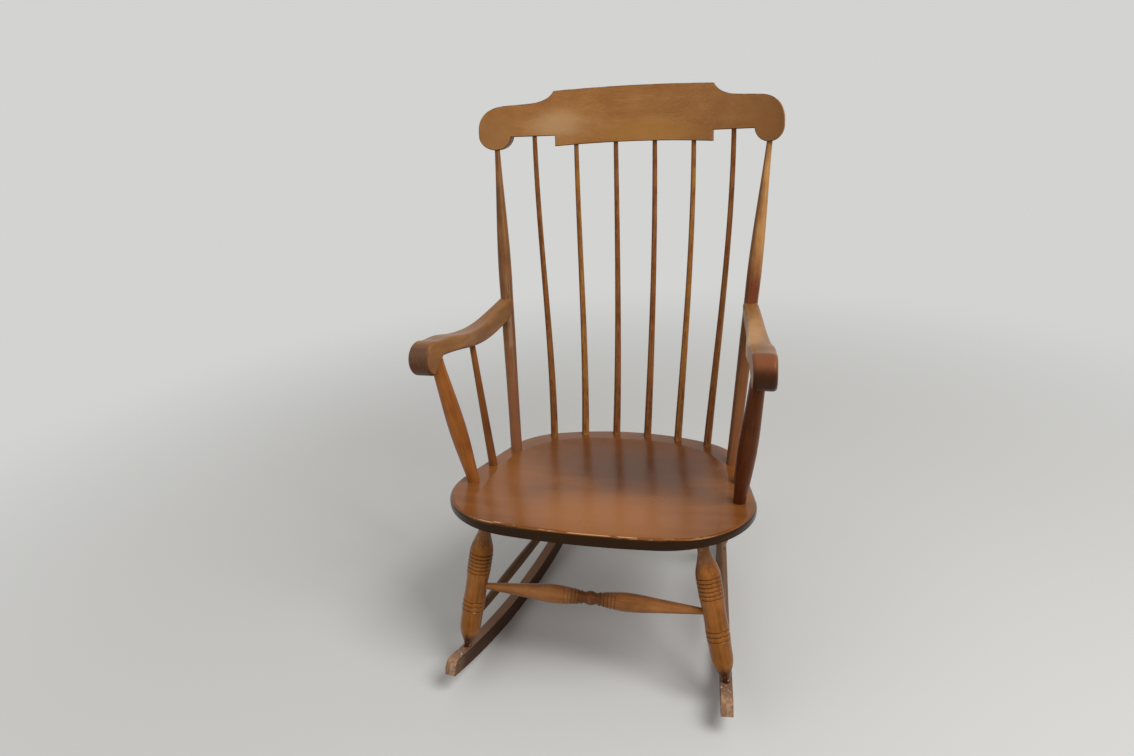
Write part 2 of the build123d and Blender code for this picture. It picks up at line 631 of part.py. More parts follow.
# ---------------------------------------------------------------- posts and spindles
def post_axis():
    """Foot and top of the right back post."""
    foot = on_seat(*POST_FOOT)
    lobe_drop = math.sqrt(CREST_LOBE_RADIUS**2 - (POST_TOP_X - CREST_LOBE_CENTRE[0]) ** 2)
    return foot, crest_point(POST_TOP_X, CREST_LOBE_CENTRE[1] - lobe_drop)


def make_back_post():
    """A straight turned post: slim foot, parallel stretch for the arm, long taper to the crest."""
    foot, top = post_axis()
    length = (top - foot).length
    low, high = POST_ARM_ZONE
    up, widened = POST_FOOT_SHAPE
    waist = between(POST_FOOT_DIAMETER, POST_ARM_DIAMETER, widened)
    further, left = POST_TAPER_SHAPE
    profile = [
        taper((-POST_FOOT_TENON, POST_FOOT_DIAMETER), (FOOT_PARALLEL, POST_FOOT_DIAMETER)),
        taper((FOOT_PARALLEL, POST_FOOT_DIAMETER), (low * up, waist), (low, POST_ARM_DIAMETER)),
        taper((low, POST_ARM_DIAMETER), (high, POST_ARM_DIAMETER)),
        taper(
            (high, POST_ARM_DIAMETER),
            (between(high, length, POST_SHOULDER), POST_ARM_DIAMETER),
            (between(high, length, further), between(POST_TOP_DIAMETER, POST_ARM_DIAMETER, left)),
            (length, POST_TOP_DIAMETER),
        ),
        taper((length, POST_TOP_DIAMETER), (length + POST_TOP_TENON, POST_TOP_DIAMETER)),
    ]
    return turned(profile, -POST_FOOT_TENON, along(foot, top))


def spindle_ends(index):
    """Foot, foot direction, top and top direction of a bent spindle; index counts from the left."""
    place = index - (SPINDLE_COUNT - 1) / 2
    angle = place * SPINDLE_FOOT_PITCH / SPINDLE_FOOT_RADIUS
    foot_x = SPINDLE_FOOT_RADIUS * math.sin(angle)
    foot_v = SPINDLE_FOOT_CENTRE - SPINDLE_FOOT_RADIUS * (1 - math.cos(angle))
    top_x = place * SPINDLE_TOP_PITCH
    edge = crest_lower_edge(top_x) if abs(top_x) < CREST_STEP_X else CREST_WING_BOTTOM
    foot = on_seat(foot_x, foot_v)
    top = crest_point(top_x, edge)
    splay = (top_x - foot_x) / CREST_HEIGHT
    foot_direction = seat_direction(splay, math.tan(math.radians(SPINDLE_FOOT_RAKE)), 1)
    return foot, foot_direction, top, CREST.y_dir


def make_spindle(index):
    """A tapered rod bent between its drilled foot and the crest."""
    foot, foot_direction, top, top_direction = spindle_ends(index)
    handle = (top - foot).length / 3
    path = Bezier(foot, foot + foot_direction * handle, top - top_direction * handle, top)
    stations = (
        (0.0, SPINDLE_FOOT_DIAMETER),
        (0.25, (SPINDLE_FOOT_DIAMETER + SPINDLE_MIDDLE_DIAMETER) / 2),
        (0.5, SPINDLE_MIDDLE_DIAMETER),
        (0.75, (SPINDLE_MIDDLE_DIAMETER + SPINDLE_TOP_DIAMETER) / 2),
        (1.0, SPINDLE_TOP_DIAMETER),
    )
    rings = [Plane(origin=path @ at, z_dir=path % at) * Circle(diameter / 2) for at, diameter in stations]
    rod = loft(rings)
    rod += pin(foot, foot_direction * -1, SPINDLE_FOOT_DIAMETER, SPINDLE_FOOT_TENON)
    rod += pin(top, top_direction, SPINDLE_TOP_DIAMETER, SPINDLE_TOP_TENON)
    return rod


# ---------------------------------------------------------------- arms
def line_value(line, v):
    """Linear reading of one of the arm's station lists."""
    for (v0, a), (v1, b) in zip(line, line[1:]):
        if v <= v1:
            return a + (b - a) * (v - v0) / (v1 - v0)
    return line[-1][1]


def arm_middle(v):
    """x and w in the middle of the right arm's section."""
    x = (line_value(ARM_INNER_LINE, v) + line_value(ARM_OUTER_LINE, v)) / 2
    bottom = ARM_BOTTOM_LINE + (ARM_REAR_BOTTOM,)
    top = ARM_TOP_LINE + (ARM_REAR_TOP,)
    return x, (line_value(bottom, v) + line_value(top, v)) / 2


def arm_side():
    """The arm seen from the side, in (v, w): rolled nose, hollow top line, rising rear end."""
    centre = Vector(*ARM_NOSE_CENTRE)
    low = Vector(*ARM_NOSE_LOW)
    high = Vector(*ARM_NOSE_HIGH)
    fall = math.radians(ARM_NOSE_SLOPE)
    rise = math.radians(ARM_REAR_SLOPE)
    nose_top = centre + Vector(math.sin(fall), math.cos(fall)) * ARM_NOSE_RADIUS
    nose_low = centre + (low - centre).normalized() * ARM_NOSE_RADIUS
    nose_front = centre + Vector(-1, 0) * ARM_NOSE_RADIUS
    ways = [(math.cos(fall), -math.sin(fall)), (math.cos(rise), math.sin(rise))]
    return make_face([
        Spline(nose_top, *ARM_TOP_LINE, ARM_REAR_TOP, tangents=ways),
        Line(ARM_REAR_TOP, ARM_REAR_BOTTOM),
        Spline(ARM_REAR_BOTTOM, *reversed(ARM_BOTTOM_LINE), high),
        Line(high, nose_low),
        ThreePointArc(nose_low, nose_front, nose_top),
    ])


def arm_plan():
    """The arm seen from above, in (x, v)."""
    inner = [(x, v) for v, x in ARM_INNER_LINE]
    outer = [(x, v) for v, x in ARM_OUTER_LINE]
    return make_face([
        Spline(*inner),
        Line(inner[-1], outer[-1]),
        Spline(*reversed(outer)),
        Line(outer[0], inner[0]),
    ])


def arm_tenon_axis():
    """Where the arm's axis meets the middle of the back post, and its direction."""
    foot, top = post_axis()
    direction = (top - foot).normalized()
    front_v = ARM_REAR_TOP[0] - ARM_TENON_RUN
    front_x, front_w = arm_middle(front_v)
    start = on_seat(front_x, front_v, front_w)
    _, end_w = arm_middle(ARM_REAR_TOP[0])
    height = end_w / seat_direction_share(direction)
    meeting = foot + direction * height
    return meeting, (meeting - start).normalized()


def seat_direction_share(direction):
    """How much of a unit direction is square off the seat."""
    return direction.dot(SEAT.z_dir)


def runs_across(edge):
    """Whether an edge runs more across the chair than in any other way."""
    way = edge.tangent_at(0.5)
    return abs(way.X) > max(abs(way.Y), abs(way.Z))


def make_arm():
    """The right arm, sawn in side view and in plan, its edges rounded, coped and tenoned to the post."""
    side_plane = Plane(origin=(0, 0, 0), x_dir=(0, 1, 0), z_dir=(1, 0, 0))
    side = extrude(side_plane * arm_side(), amount=BLANK)
    plan = extrude(arm_plan(), amount=BLANK)
    blank = side & plan
    rear = blank.faces().sort_by(Axis.Y)[-1].edges()
    rims = [
        edge for edge in blank.edges()
        if not runs_across(edge) and not any(same_place(edge, other.center()) for other in rear)
    ]
    arm = SEAT * fillet(rims, ARM_EDGE_RADIUS)
    foot, top = post_axis()
    post_diameter = POST_ARM_DIAMETER + 2 * TENON_CLEARANCE
    arm -= pin(foot, (top - foot).normalized(), post_diameter, (top - foot).length)
    meeting, direction = arm_tenon_axis()
    tenon_end = meeting + direction * (ARM_TENON_LENGTH - POST_ARM_DIAMETER / 2)
    arm += pin(tenon_end, direction * -1, ARM_TENON_DIAMETER, ARM_TENON_LENGTH + ARM_TENON_ROOT)
    return arm


def arm_post_axis():
    """Foot of the right arm post and the point where its tenon starts inside the arm."""
    return on_seat(*ARM_POST_FOOT), on_seat(*ARM_POST_TOP)


def make_arm_post():
    """A turned post with its swell a little below the middle."""
    foot, top = arm_post_axis()
    length = (top - foot).length
    lower, lower_part = ARM_POST_LOWER_SHAPE
    upper, upper_part = ARM_POST_UPPER_SHAPE
    profile = [
        taper((-ARM_FOOT_TENON, ARM_POST_FOOT_DIAMETER), (FOOT_PARALLEL, ARM_POST_FOOT_DIAMETER)),
        taper(
            (FOOT_PARALLEL, ARM_POST_FOOT_DIAMETER),
            (length * lower, between(ARM_POST_FOOT_DIAMETER, ARM_POST_SWELL, lower_part)),
            (length * ARM_POST_SWELL_SHARE, ARM_POST_SWELL),
            (length * upper, between(ARM_POST_TOP_DIAMETER, ARM_POST_SWELL, upper_part)),
            (length, ARM_POST_TOP_DIAMETER),
        ),
        taper((length, ARM_POST_TOP_DIAMETER), (length + ARM_POST_TOP_TENON, ARM_POST_TOP_DIAMETER)),
    ]
    return turned(profile, -ARM_FOOT_TENON, along(foot, top))


def arm_spindle_axis():
    """Foot of the right arm spindle and the point where it enters the arm."""
    x, _ = arm_middle(ARM_SPINDLE_TOP_V)
    underside = line_value(ARM_BOTTOM_LINE, ARM_SPINDLE_TOP_V)
    return on_seat(*ARM_SPINDLE_FOOT), on_seat(x, ARM_SPINDLE_TOP_V, underside)


def make_arm_spindle():
    """A plain tapered rod under the middle of the arm."""
    foot, top = arm_spindle_axis()
    length = (top - foot).length
    thick = ARM_SPINDLE_FOOT_DIAMETER
    thin = ARM_SPINDLE_TOP_DIAMETER
    profile = [
        taper((-ARM_FOOT_TENON, thick), (FOOT_PARALLEL, thick)),
        taper((FOOT_PARALLEL, thick), (length, thin)),
        taper((length, thin), (length + ARM_SPINDLE_TOP_TENON, thin)),
    ]
    return turned(profile, -ARM_FOOT_TENON, along(foot, top))


# ---------------------------------------------------------------- assembly
def build():
    """Every node of the chair, by name, drilled and seated."""
    nodes = {}
    seat = make_seat()
    rocker = make_rocker()

    front_foot = foot_point(-FRONT_FOOT_REACH, 0)
    rear_foot = foot_point(REAR_FOOT_REACH, 0)
    front_top = on_seat(*FRONT_LEG_TOP, -SEAT_THICKNESS)
    rear_top = on_seat(*REAR_LEG_TOP, -SEAT_THICKNESS)
    front_leg = make_leg(front_foot, front_top)
    rear_leg = make_leg(rear_foot, rear_top)
    front_up = (front_top - front_foot).normalized()
    rear_up = (rear_top - rear_foot).normalized()
    for foot, up in ((front_foot, front_up), (rear_foot, rear_up)):
        rocker -= drill(foot, up * -1, FOOT_TENON_DIAMETER, FOOT_TENON_LENGTH)

    def bar_at(foot, up, height):
        return foot + up * height

    front_bar = bar_at(front_foot, front_up, FRONT_STRETCHER_HEIGHT)
    rear_bar = bar_at(rear_foot, rear_up, REAR_STRETCHER_HEIGHT)
    side_front = bar_at(front_foot, front_up, SIDE_STRETCHER_FRONT)
    side_rear = bar_at(rear_foot, rear_up, SIDE_STRETCHER_REAR)
    nodes["front_stretcher"] = make_front_stretcher(
        Vector(-front_bar.X, front_bar.Y, front_bar.Z), front_bar, leg_radius(FRONT_STRETCHER_HEIGHT)
    )
    nodes["rear_stretcher"] = make_plain_stretcher(
        Vector(-rear_bar.X, rear_bar.Y, rear_bar.Z), rear_bar,
        leg_radius(REAR_STRETCHER_HEIGHT), leg_radius(REAR_STRETCHER_HEIGHT), REAR_STRETCHER_SWELL,
    )
    side_stretcher = make_plain_stretcher(
        side_front, side_rear,
        leg_radius(SIDE_STRETCHER_FRONT), leg_radius(SIDE_STRETCHER_REAR), SIDE_STRETCHER_SWELL,
    )
    side_way = (side_rear - side_front).normalized()

    def bar_socket(axis_point, outward, height):
        surface = axis_point + outward * -leg_radius(height)
        return drill(surface, outward, STRETCHER_TENON_DIAMETER, STRETCHER_TENON_LENGTH)

    right = Vector(1, 0, 0)
    front_leg -= bar_socket(front_bar, right, FRONT_STRETCHER_HEIGHT)
    front_leg -= bar_socket(side_front, side_way * -1, SIDE_STRETCHER_FRONT)
    rear_leg -= bar_socket(rear_bar, right, REAR_STRETCHER_HEIGHT)
    rear_leg -= bar_socket(side_rear, side_way, SIDE_STRETCHER_REAR)

    crest = make_crest()
    post_foot, post_top = post_axis()
    post_up = (post_top - post_foot).normalized()
    back_post = make_back_post()
    meeting, arm_way = arm_tenon_axis()
    back_post -= drill(
        meeting - arm_way * (POST_ARM_DIAMETER / 2), arm_way, ARM_TENON_DIAMETER, ARM_TENON_LENGTH
    )
    arm = make_arm()
    arm_post = make_arm_post()
    arm_foot, arm_top = arm_post_axis()
    arm_up = (arm_top - arm_foot).normalized()
    arm_spindle = make_arm_spindle()
    rod_foot, rod_top = arm_spindle_axis()
    rod_up = (rod_top - rod_foot).normalized()
    arm -= drill(arm_top, arm_up, ARM_POST_TOP_DIAMETER, ARM_POST_TOP_TENON)
    arm -= drill(rod_top, rod_up, ARM_SPINDLE_TOP_DIAMETER, ARM_SPINDLE_TOP_TENON)

    for side, place in (("right", unmoved), ("left", mirrored)):
        seat -= place(drill(front_top, front_up, LEG_NECK_DIAMETER, LEG_TENON_LENGTH))
        seat -= place(drill(rear_top, rear_up, LEG_NECK_DIAMETER, LEG_TENON_LENGTH))
        seat -= place(drill(post_foot, post_up * -1, POST_FOOT_DIAMETER, POST_FOOT_TENON))
        seat -= place(drill(arm_foot, arm_up * -1, ARM_POST_FOOT_DIAMETER, ARM_FOOT_TENON))
        seat -= place(drill(rod_foot, rod_up * -1, ARM_SPINDLE_FOOT_DIAMETER, ARM_FOOT_TENON))
        crest -= place(drill(post_top, post_up, POST_TOP_DIAMETER, POST_TOP_TENON))
        nodes["rocker_" + side] = place(rocker)
        nodes["front_leg_" + side] = place(front_leg)
        nodes["rear_leg_" + side] = place(rear_leg)
        nodes["side_stretcher_" + side] = place(side_stretcher)
        nodes["back_post_" + side] = place(back_post)
        nodes["arm_" + side] = place(arm)
        nodes["arm_post_" + side] = place(arm_post)
        nodes["arm_spindle_" + side] = place(arm_spindle)

    for index in range(SPINDLE_COUNT):
        foot, foot_direction, top, top_direction = spindle_ends(index)
        seat -= drill(foot, foot_direction * -1, SPINDLE_FOOT_DIAMETER, SPINDLE_FOOT_TENON)
        crest -= drill(top, top_direction, SPINDLE_TOP_DIAMETER, SPINDLE_TOP_TENON)
        nodes["back_spindle_" + str(index + 1)] = make_spindle(index)

    nodes["seat"] = seat
    nodes["crest_rail"] = crest
    return nodes


def main():
    """Centre the chair on its box and write one file for each node."""
    nodes = build()
    boxes = [part.bounding_box() for part in nodes.values()]
    middle = (min(box.min.Y for box in boxes) + max(box.max.Y for box in boxes)) / 2
    os.makedirs("parts", exist_ok=True)
    for name, part in nodes.items():
        export_step(Pos(0, -middle, 0) * part, "parts/" + name + ".step")


if __name__ == "__main__":
    main()
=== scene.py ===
import logging
import math
from dataclasses import dataclass, field
from enum import Enum
from typing import Any, Optional, Union

import bmesh
import bpy
import numpy as np
from mathutils import Matrix, Vector


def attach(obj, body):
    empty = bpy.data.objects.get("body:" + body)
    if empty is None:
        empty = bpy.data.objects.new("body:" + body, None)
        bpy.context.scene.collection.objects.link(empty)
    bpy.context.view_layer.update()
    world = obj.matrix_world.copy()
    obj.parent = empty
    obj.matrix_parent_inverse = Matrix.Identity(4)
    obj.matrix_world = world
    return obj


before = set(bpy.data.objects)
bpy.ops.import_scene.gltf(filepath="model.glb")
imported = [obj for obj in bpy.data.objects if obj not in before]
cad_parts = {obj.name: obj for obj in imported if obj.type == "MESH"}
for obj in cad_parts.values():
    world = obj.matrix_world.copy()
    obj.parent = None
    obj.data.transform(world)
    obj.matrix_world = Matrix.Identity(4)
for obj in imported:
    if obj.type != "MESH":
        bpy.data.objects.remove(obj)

# A rocking chair of stained and lacquered maple.  The solids come from the frame and keep their
# places; this script rounds the ring turnings, gives every piece its finish, and sets floor, light
# and camera.  X runs to the right as the chair is seen from the front, Y to its back and Z up.
# The frame is in metres; sizes here are in millimetres, unless their names end in _m.

LOG = logging.getLogger("rocking_chair")
MM = 0.001
BODY = "root"
SIDES = ("left", "right")
UPWARD = (0.0, 0.0, 1.0)
DOWNWARD = (0.0, 0.0, -1.0)
FORWARD = (0.0, -1.0, 0.0)
Number = Union[int, float]
Triple = tuple[float, float, float]
Socket = bpy.types.NodeSocket


def linear_colour(hex_colour: str) -> tuple[float, float, float, float]:
    """Turn an sRGB hex colour into the linear values that a shader takes.

    Args:
        hex_colour: Six hexadecimal digits, with or without a leading hash.

    Returns:
        Linear red, green and blue, and an alpha of 1.
    """
    digits = hex_colour.lstrip("#")
    channels = [int(digits[i:i + 2], 16) / 255 for i in (0, 2, 4)]
    red, green, blue = [
        c / 12.92 if c <= 0.04045 else ((c + 0.055) / 1.055) ** 2.4 for c in channels
    ]
    return red, green, blue, 1.0


def add_node(
    tree: bpy.types.NodeTree,
    kind: str,
    inputs: Optional[dict[Union[int, str], Any]] = None,
    settings: Optional[dict[str, Any]] = None,
) -> bpy.types.Node:
    """Add one node with its settings, and link or set its inputs.

    Args:
        tree: The shader or geometry tree.
        kind: Blender's name of the node's type.
        inputs: By socket name or number, a value, or a socket to link from.
        settings: Attributes of the node itself.

    Returns:
        The new node.
    """
    node = tree.nodes.new(kind)
    for name, value in (settings or {}).items():
        setattr(node, name, value)
    for key, value in (inputs or {}).items():
        if isinstance(value, bpy.types.NodeSocket):
            tree.links.new(value, node.inputs[key])
        else:
            node.inputs[key].default_value = value
    return node


def mirrored(side: str, point: Triple) -> Triple:
    """A point of the right side, or the same point of the left side."""
    return (-point[0] if side == "left" else point[0], point[1], point[2])


@dataclass(frozen=True)
class PieceAxes:
    """The frame that a piece's grain follows: origin at its low end, Z along the grain."""

    END_SLICE_MM = 1.0     # depth of the slice that gives the middle of a piece's end
    STEEP = 0.9            # past this share of Z a direction counts as upright

    origin: Vector
    rotation: Matrix

    def matrix(self) -> Matrix:
        """The matrix from the piece's frame to the chair's."""
        return Matrix.Translation(self.origin) @ self.rotation.to_4x4()

    @classmethod
    def of_node(cls, node: bpy.types.Object) -> "PieceAxes":
        """Read the axis of a long piece from its mesh.

        Args:
            node: A CAD node.

        Returns:
            Axes whose Z runs between the middles of the piece's two ends, upwards, backwards or to
            the right, whichever the piece follows most.
        """
        points = np.array([v.co for v in node.data.vertices], float)
        middle = points.mean(0)
        _, _, directions = np.linalg.svd(points - middle, full_matrices=False)
        reach = (points - middle) @ directions[0]
        end_slice = cls.END_SLICE_MM * MM
        low_end = points[reach < reach.min() + end_slice].mean(0)
        high_end = points[reach > reach.max() - end_slice].mean(0)
        along = Vector(high_end - low_end)
        main = max(range(3), key=lambda i: abs(along[i]))
        if along[main] < 0:
            low_end, along = high_end, -along
        along.normalize()
        other = Vector((0, 0, 1)) if abs(along.z) < cls.STEEP else Vector((0, 1, 0))
        side = along.cross(other).normalized()
        rotation = Matrix((side, along.cross(side), along)).transposed()
        return cls(Vector(low_end), rotation)


@dataclass(frozen=True)
class Spot:
    """The shaded point, in the chair's frame and in the piece's own."""

    FINE_OCTAVES = 3.0     # in streaks and specks
    BROAD_OCTAVES = 2.0    # in figure and clouds
    OCTAVE_SHARE = 0.55    # each octave's strength, as a share of the one before

    tree: bpy.types.NodeTree
    place: Socket
    grain: Socket

    def fade(self, value: Socket, full: float, none: float) -> Socket:
        """Turn a value into a mask with a smooth edge.

        Args:
            value: What the mask goes by.
            full: The value at which the mask is 1.
            none: The value at which it is 0, above or below full.

        Returns:
            The mask.
        """
        return add_node(
            self.tree, "ShaderNodeMapRange",
            {"Value": value, "From Min": full, "From Max": none, "To Min": 1.0, "To Max": 0.0},
            {"interpolation_type": "SMOOTHSTEP"},
        ).outputs[0]

    def both(self, first: Socket, second: Union[Socket, float]) -> Socket:
        """Find where two masks hold at once.

        Args:
            first: A mask.
            second: Another mask, or a strength for the first.

        Returns:
            Their product.
        """
        return add_node(
            self.tree, "ShaderNodeMath", {0: first, 1: second},
            {"operation": "MULTIPLY", "use_clamp": True},
        ).outputs[0]

    def cells(self, across_mm: float, run_mm: float, octaves: float = FINE_OCTAVES) -> Socket:
        """Make noise that is drawn out along the grain.

        Args:
            across_mm: The width of its cells.
            run_mm: Their length in the grain's direction.
            octaves: How many sizes of cell lie over each other.

        Returns:
            Noise around 0.5.
        """
        size = (1 / (across_mm * MM), 1 / (across_mm * MM), 1 / (run_mm * MM))
        scaled = add_node(
            self.tree, "ShaderNodeMapping", {"Vector": self.grain, "Scale": size}
        ).outputs[0]
        return add_node(
            self.tree, "ShaderNodeTexNoise",
            {"Vector": scaled, "Scale": 1.0, "Detail": octaves, "Roughness": self.OCTAVE_SHARE},
        ).outputs[0]

    def blend(self, *parts: tuple[Socket, float]) -> Socket:
        """Add several values up.

        Args:
            parts: Each value with its weight.

        Returns:
            The weighted sum.
        """
        total: Any = 0.0
        for value, weight in parts:
            total = add_node(
                self.tree, "ShaderNodeMath", {0: value, 1: weight, 2: total},
                {"operation": "MULTIPLY_ADD"},
            ).outputs[0]
        return total


@dataclass(frozen=True)
class Around:
    """Inside an ellipsoid in the chair's frame, fading over the soft share of its radii."""

    centre_mm: Triple
    radii_mm: Triple
    soft: float = 0.8

    def mask(self, spot: Spot) -> Socket:
        """Make the mask of this place.

        Args:
            spot: The shaded point.

        Returns:
            1 inside, 0 outside.
        """
        centre = Vector(self.centre_mm) * MM
        radii = Vector(self.radii_mm) * MM
        away = add_node(
            spot.tree, "ShaderNodeVectorMath", {0: spot.place, 1: centre},
            {"operation": "SUBTRACT"},
        ).outputs[0]
        share = add_node(
            spot.tree, "ShaderNodeVectorMath", {0: away, 1: radii}, {"operation": "DIVIDE"}
        ).outputs[0]
        length = add_node(
            spot.tree, "ShaderNodeVectorMath", {0: share}, {"operation": "LENGTH"}
        ).outputs["Value"]
        return spot.fade(length, 1 - self.soft, 1.0)


@dataclass(frozen=True)
class Beyond:
    """Further than an offset along a direction of the chair's frame."""

    direction: Triple
    offset_mm: float
    soft_mm: float = 4.0

    def mask(self, spot: Spot) -> Socket:
        """Make the mask of this place.

        Args:
            spot: The shaded point.

        Returns:
            1 beyond the offset, 0 before it.
        """
        reach = add_node(
            spot.tree, "ShaderNodeVectorMath", {0: spot.place, 1: Vector(self.direction)},
            {"operation": "DOT_PRODUCT"},
        ).outputs["Value"]
        return spot.fade(reach, (self.offset_mm + self.soft_mm) * MM, self.offset_mm * MM)


@dataclass(frozen=True)
class Along:
    """Between two heights along the piece."""

    low_mm: float
    high_mm: float
    soft_mm: float = 4.0

    def mask(self, spot: Spot) -> Socket:
        """Make the mask of this place.

        Args:
            spot: The shaded point.

        Returns:
            1 between the heights, 0 past them.
        """
        height = add_node(spot.tree, "ShaderNodeSeparateXYZ", {0: spot.grain}).outputs["Z"]
        above = spot.fade(height, (self.low_mm + self.soft_mm) * MM, self.low_mm * MM)
        below = spot.fade(height, (self.high_mm - self.soft_mm) * MM, self.high_mm * MM)
        return spot.both(above, below)


@dataclass(frozen=True)
class Core:
    """Nearer to a turned piece's axis than a radius: the bottoms of its grooves."""

    radius_mm: float
    soft_mm: float = 0.7

    def mask(self, spot: Spot) -> Socket:
        """Make the mask of this place.

        Args:
            spot: The shaded point.

        Returns:
            1 near the axis, 0 at the radius.
        """
        parts = add_node(spot.tree, "ShaderNodeSeparateXYZ", {0: spot.grain}).outputs
        flat = add_node(
            spot.tree, "ShaderNodeCombineXYZ", {"X": parts["X"], "Y": parts["Y"]}
        ).outputs[0]
        radius = add_node(
            spot.tree, "ShaderNodeVectorMath", {0: flat}, {"operation": "LENGTH"}
        ).outputs["Value"]
        return spot.fade(radius, (self.radius_mm - self.soft_mm) * MM, self.radius_mm * MM)


@dataclass(frozen=True)
class Facing:
    """Where the surface looks along a direction: the cosine goes from none to full.

    With either_way, the two opposite directions count the same.
    """

    direction: Triple
    none: float
    full: float
    either_way: bool = False

    def mask(self, spot: Spot) -> Socket:
        """Make the mask of this place.

        Args:
            spot: The shaded point.

        Returns:
            1 where the surface looks that way, 0 where it does not.
        """
        normal = add_node(spot.tree, "ShaderNodeNewGeometry").outputs["Normal"]
        cosine = add_node(
            spot.tree, "ShaderNodeVectorMath", {0: normal, 1: Vector(self.direction)},
            {"operation": "DOT_PRODUCT"},
        ).outputs["Value"]
        if self.either_way:
            cosine = add_node(
                spot.tree, "ShaderNodeMath", {0: cosine}, {"operation": "ABSOLUTE"}
            ).outputs[0]
        return spot.fade(cosine, self.full, self.none)


@dataclass(frozen=True)
class Specks:
    """Scattered specks: a higher level leaves fewer."""

    RISE = 0.05            # noise this far above the level makes a full speck
    FALL = 0.02            # noise this far below it makes none

    across_mm: float
    run_mm: float
    level: float = 0.6

    def mask(self, spot: Spot) -> Socket:
        """The mask of this place."""
        noise = spot.cells(self.across_mm, self.run_mm)
        return spot.fade(noise, self.level + self.RISE, self.level - self.FALL)


Limit = Union[Around, Beyond, Along, Core, Facing, Specks]


@dataclass(frozen=True)
class Patch:
    """A place on a piece whose colour differs: wear, dirt, gathered stain, and also painted shade
    and painted highlights.

    The patch shows where all its limits hold.  Breakup lets noise into its outline, which is ragged
    where the edge is small and cloudy where it is large.
    """

    SPECK_RUN = 1.6        # the outline's noise is this much longer along the grain

    colour: str
    strength: float
    limits: tuple[Limit, ...]
    breakup: float = 0.0
    speck_mm: float = 6.0
    edge: float = 0.12

    def over(self, spot: Spot, under: Socket) -> Socket:
        """Lay the patch over a colour.

        Args:
            spot: The shaded point.
            under: The colour so far.

        Returns:
            The mixed colour.
        """
        mask = self.limits[0].mask(spot)
        for limit in self.limits[1:]:
            mask = spot.both(mask, limit.mask(spot))
        if self.breakup:
            noise = spot.cells(self.speck_mm, self.speck_mm * self.SPECK_RUN)
            ragged = spot.blend((mask, 1.0), (noise, self.breakup))
            middle = 0.5 + self.breakup / 2
            mask = spot.fade(ragged, middle + self.edge, middle - self.edge)
        amount = spot.both(mask, self.strength)
        return add_node(
            spot.tree, "ShaderNodeMix", {0: amount, 6: under, 7: linear_colour(self.colour)},
            {"data_type": "RGBA"},
        ).outputs[2]


class Sheen(Enum):
    """How the lacquer has kept: roughness, and level of the mirrored light."""

    POLISHED = (0.22, 0.50)
    SATIN = (0.33, 0.34)
    DULL = (0.50, 0.20)


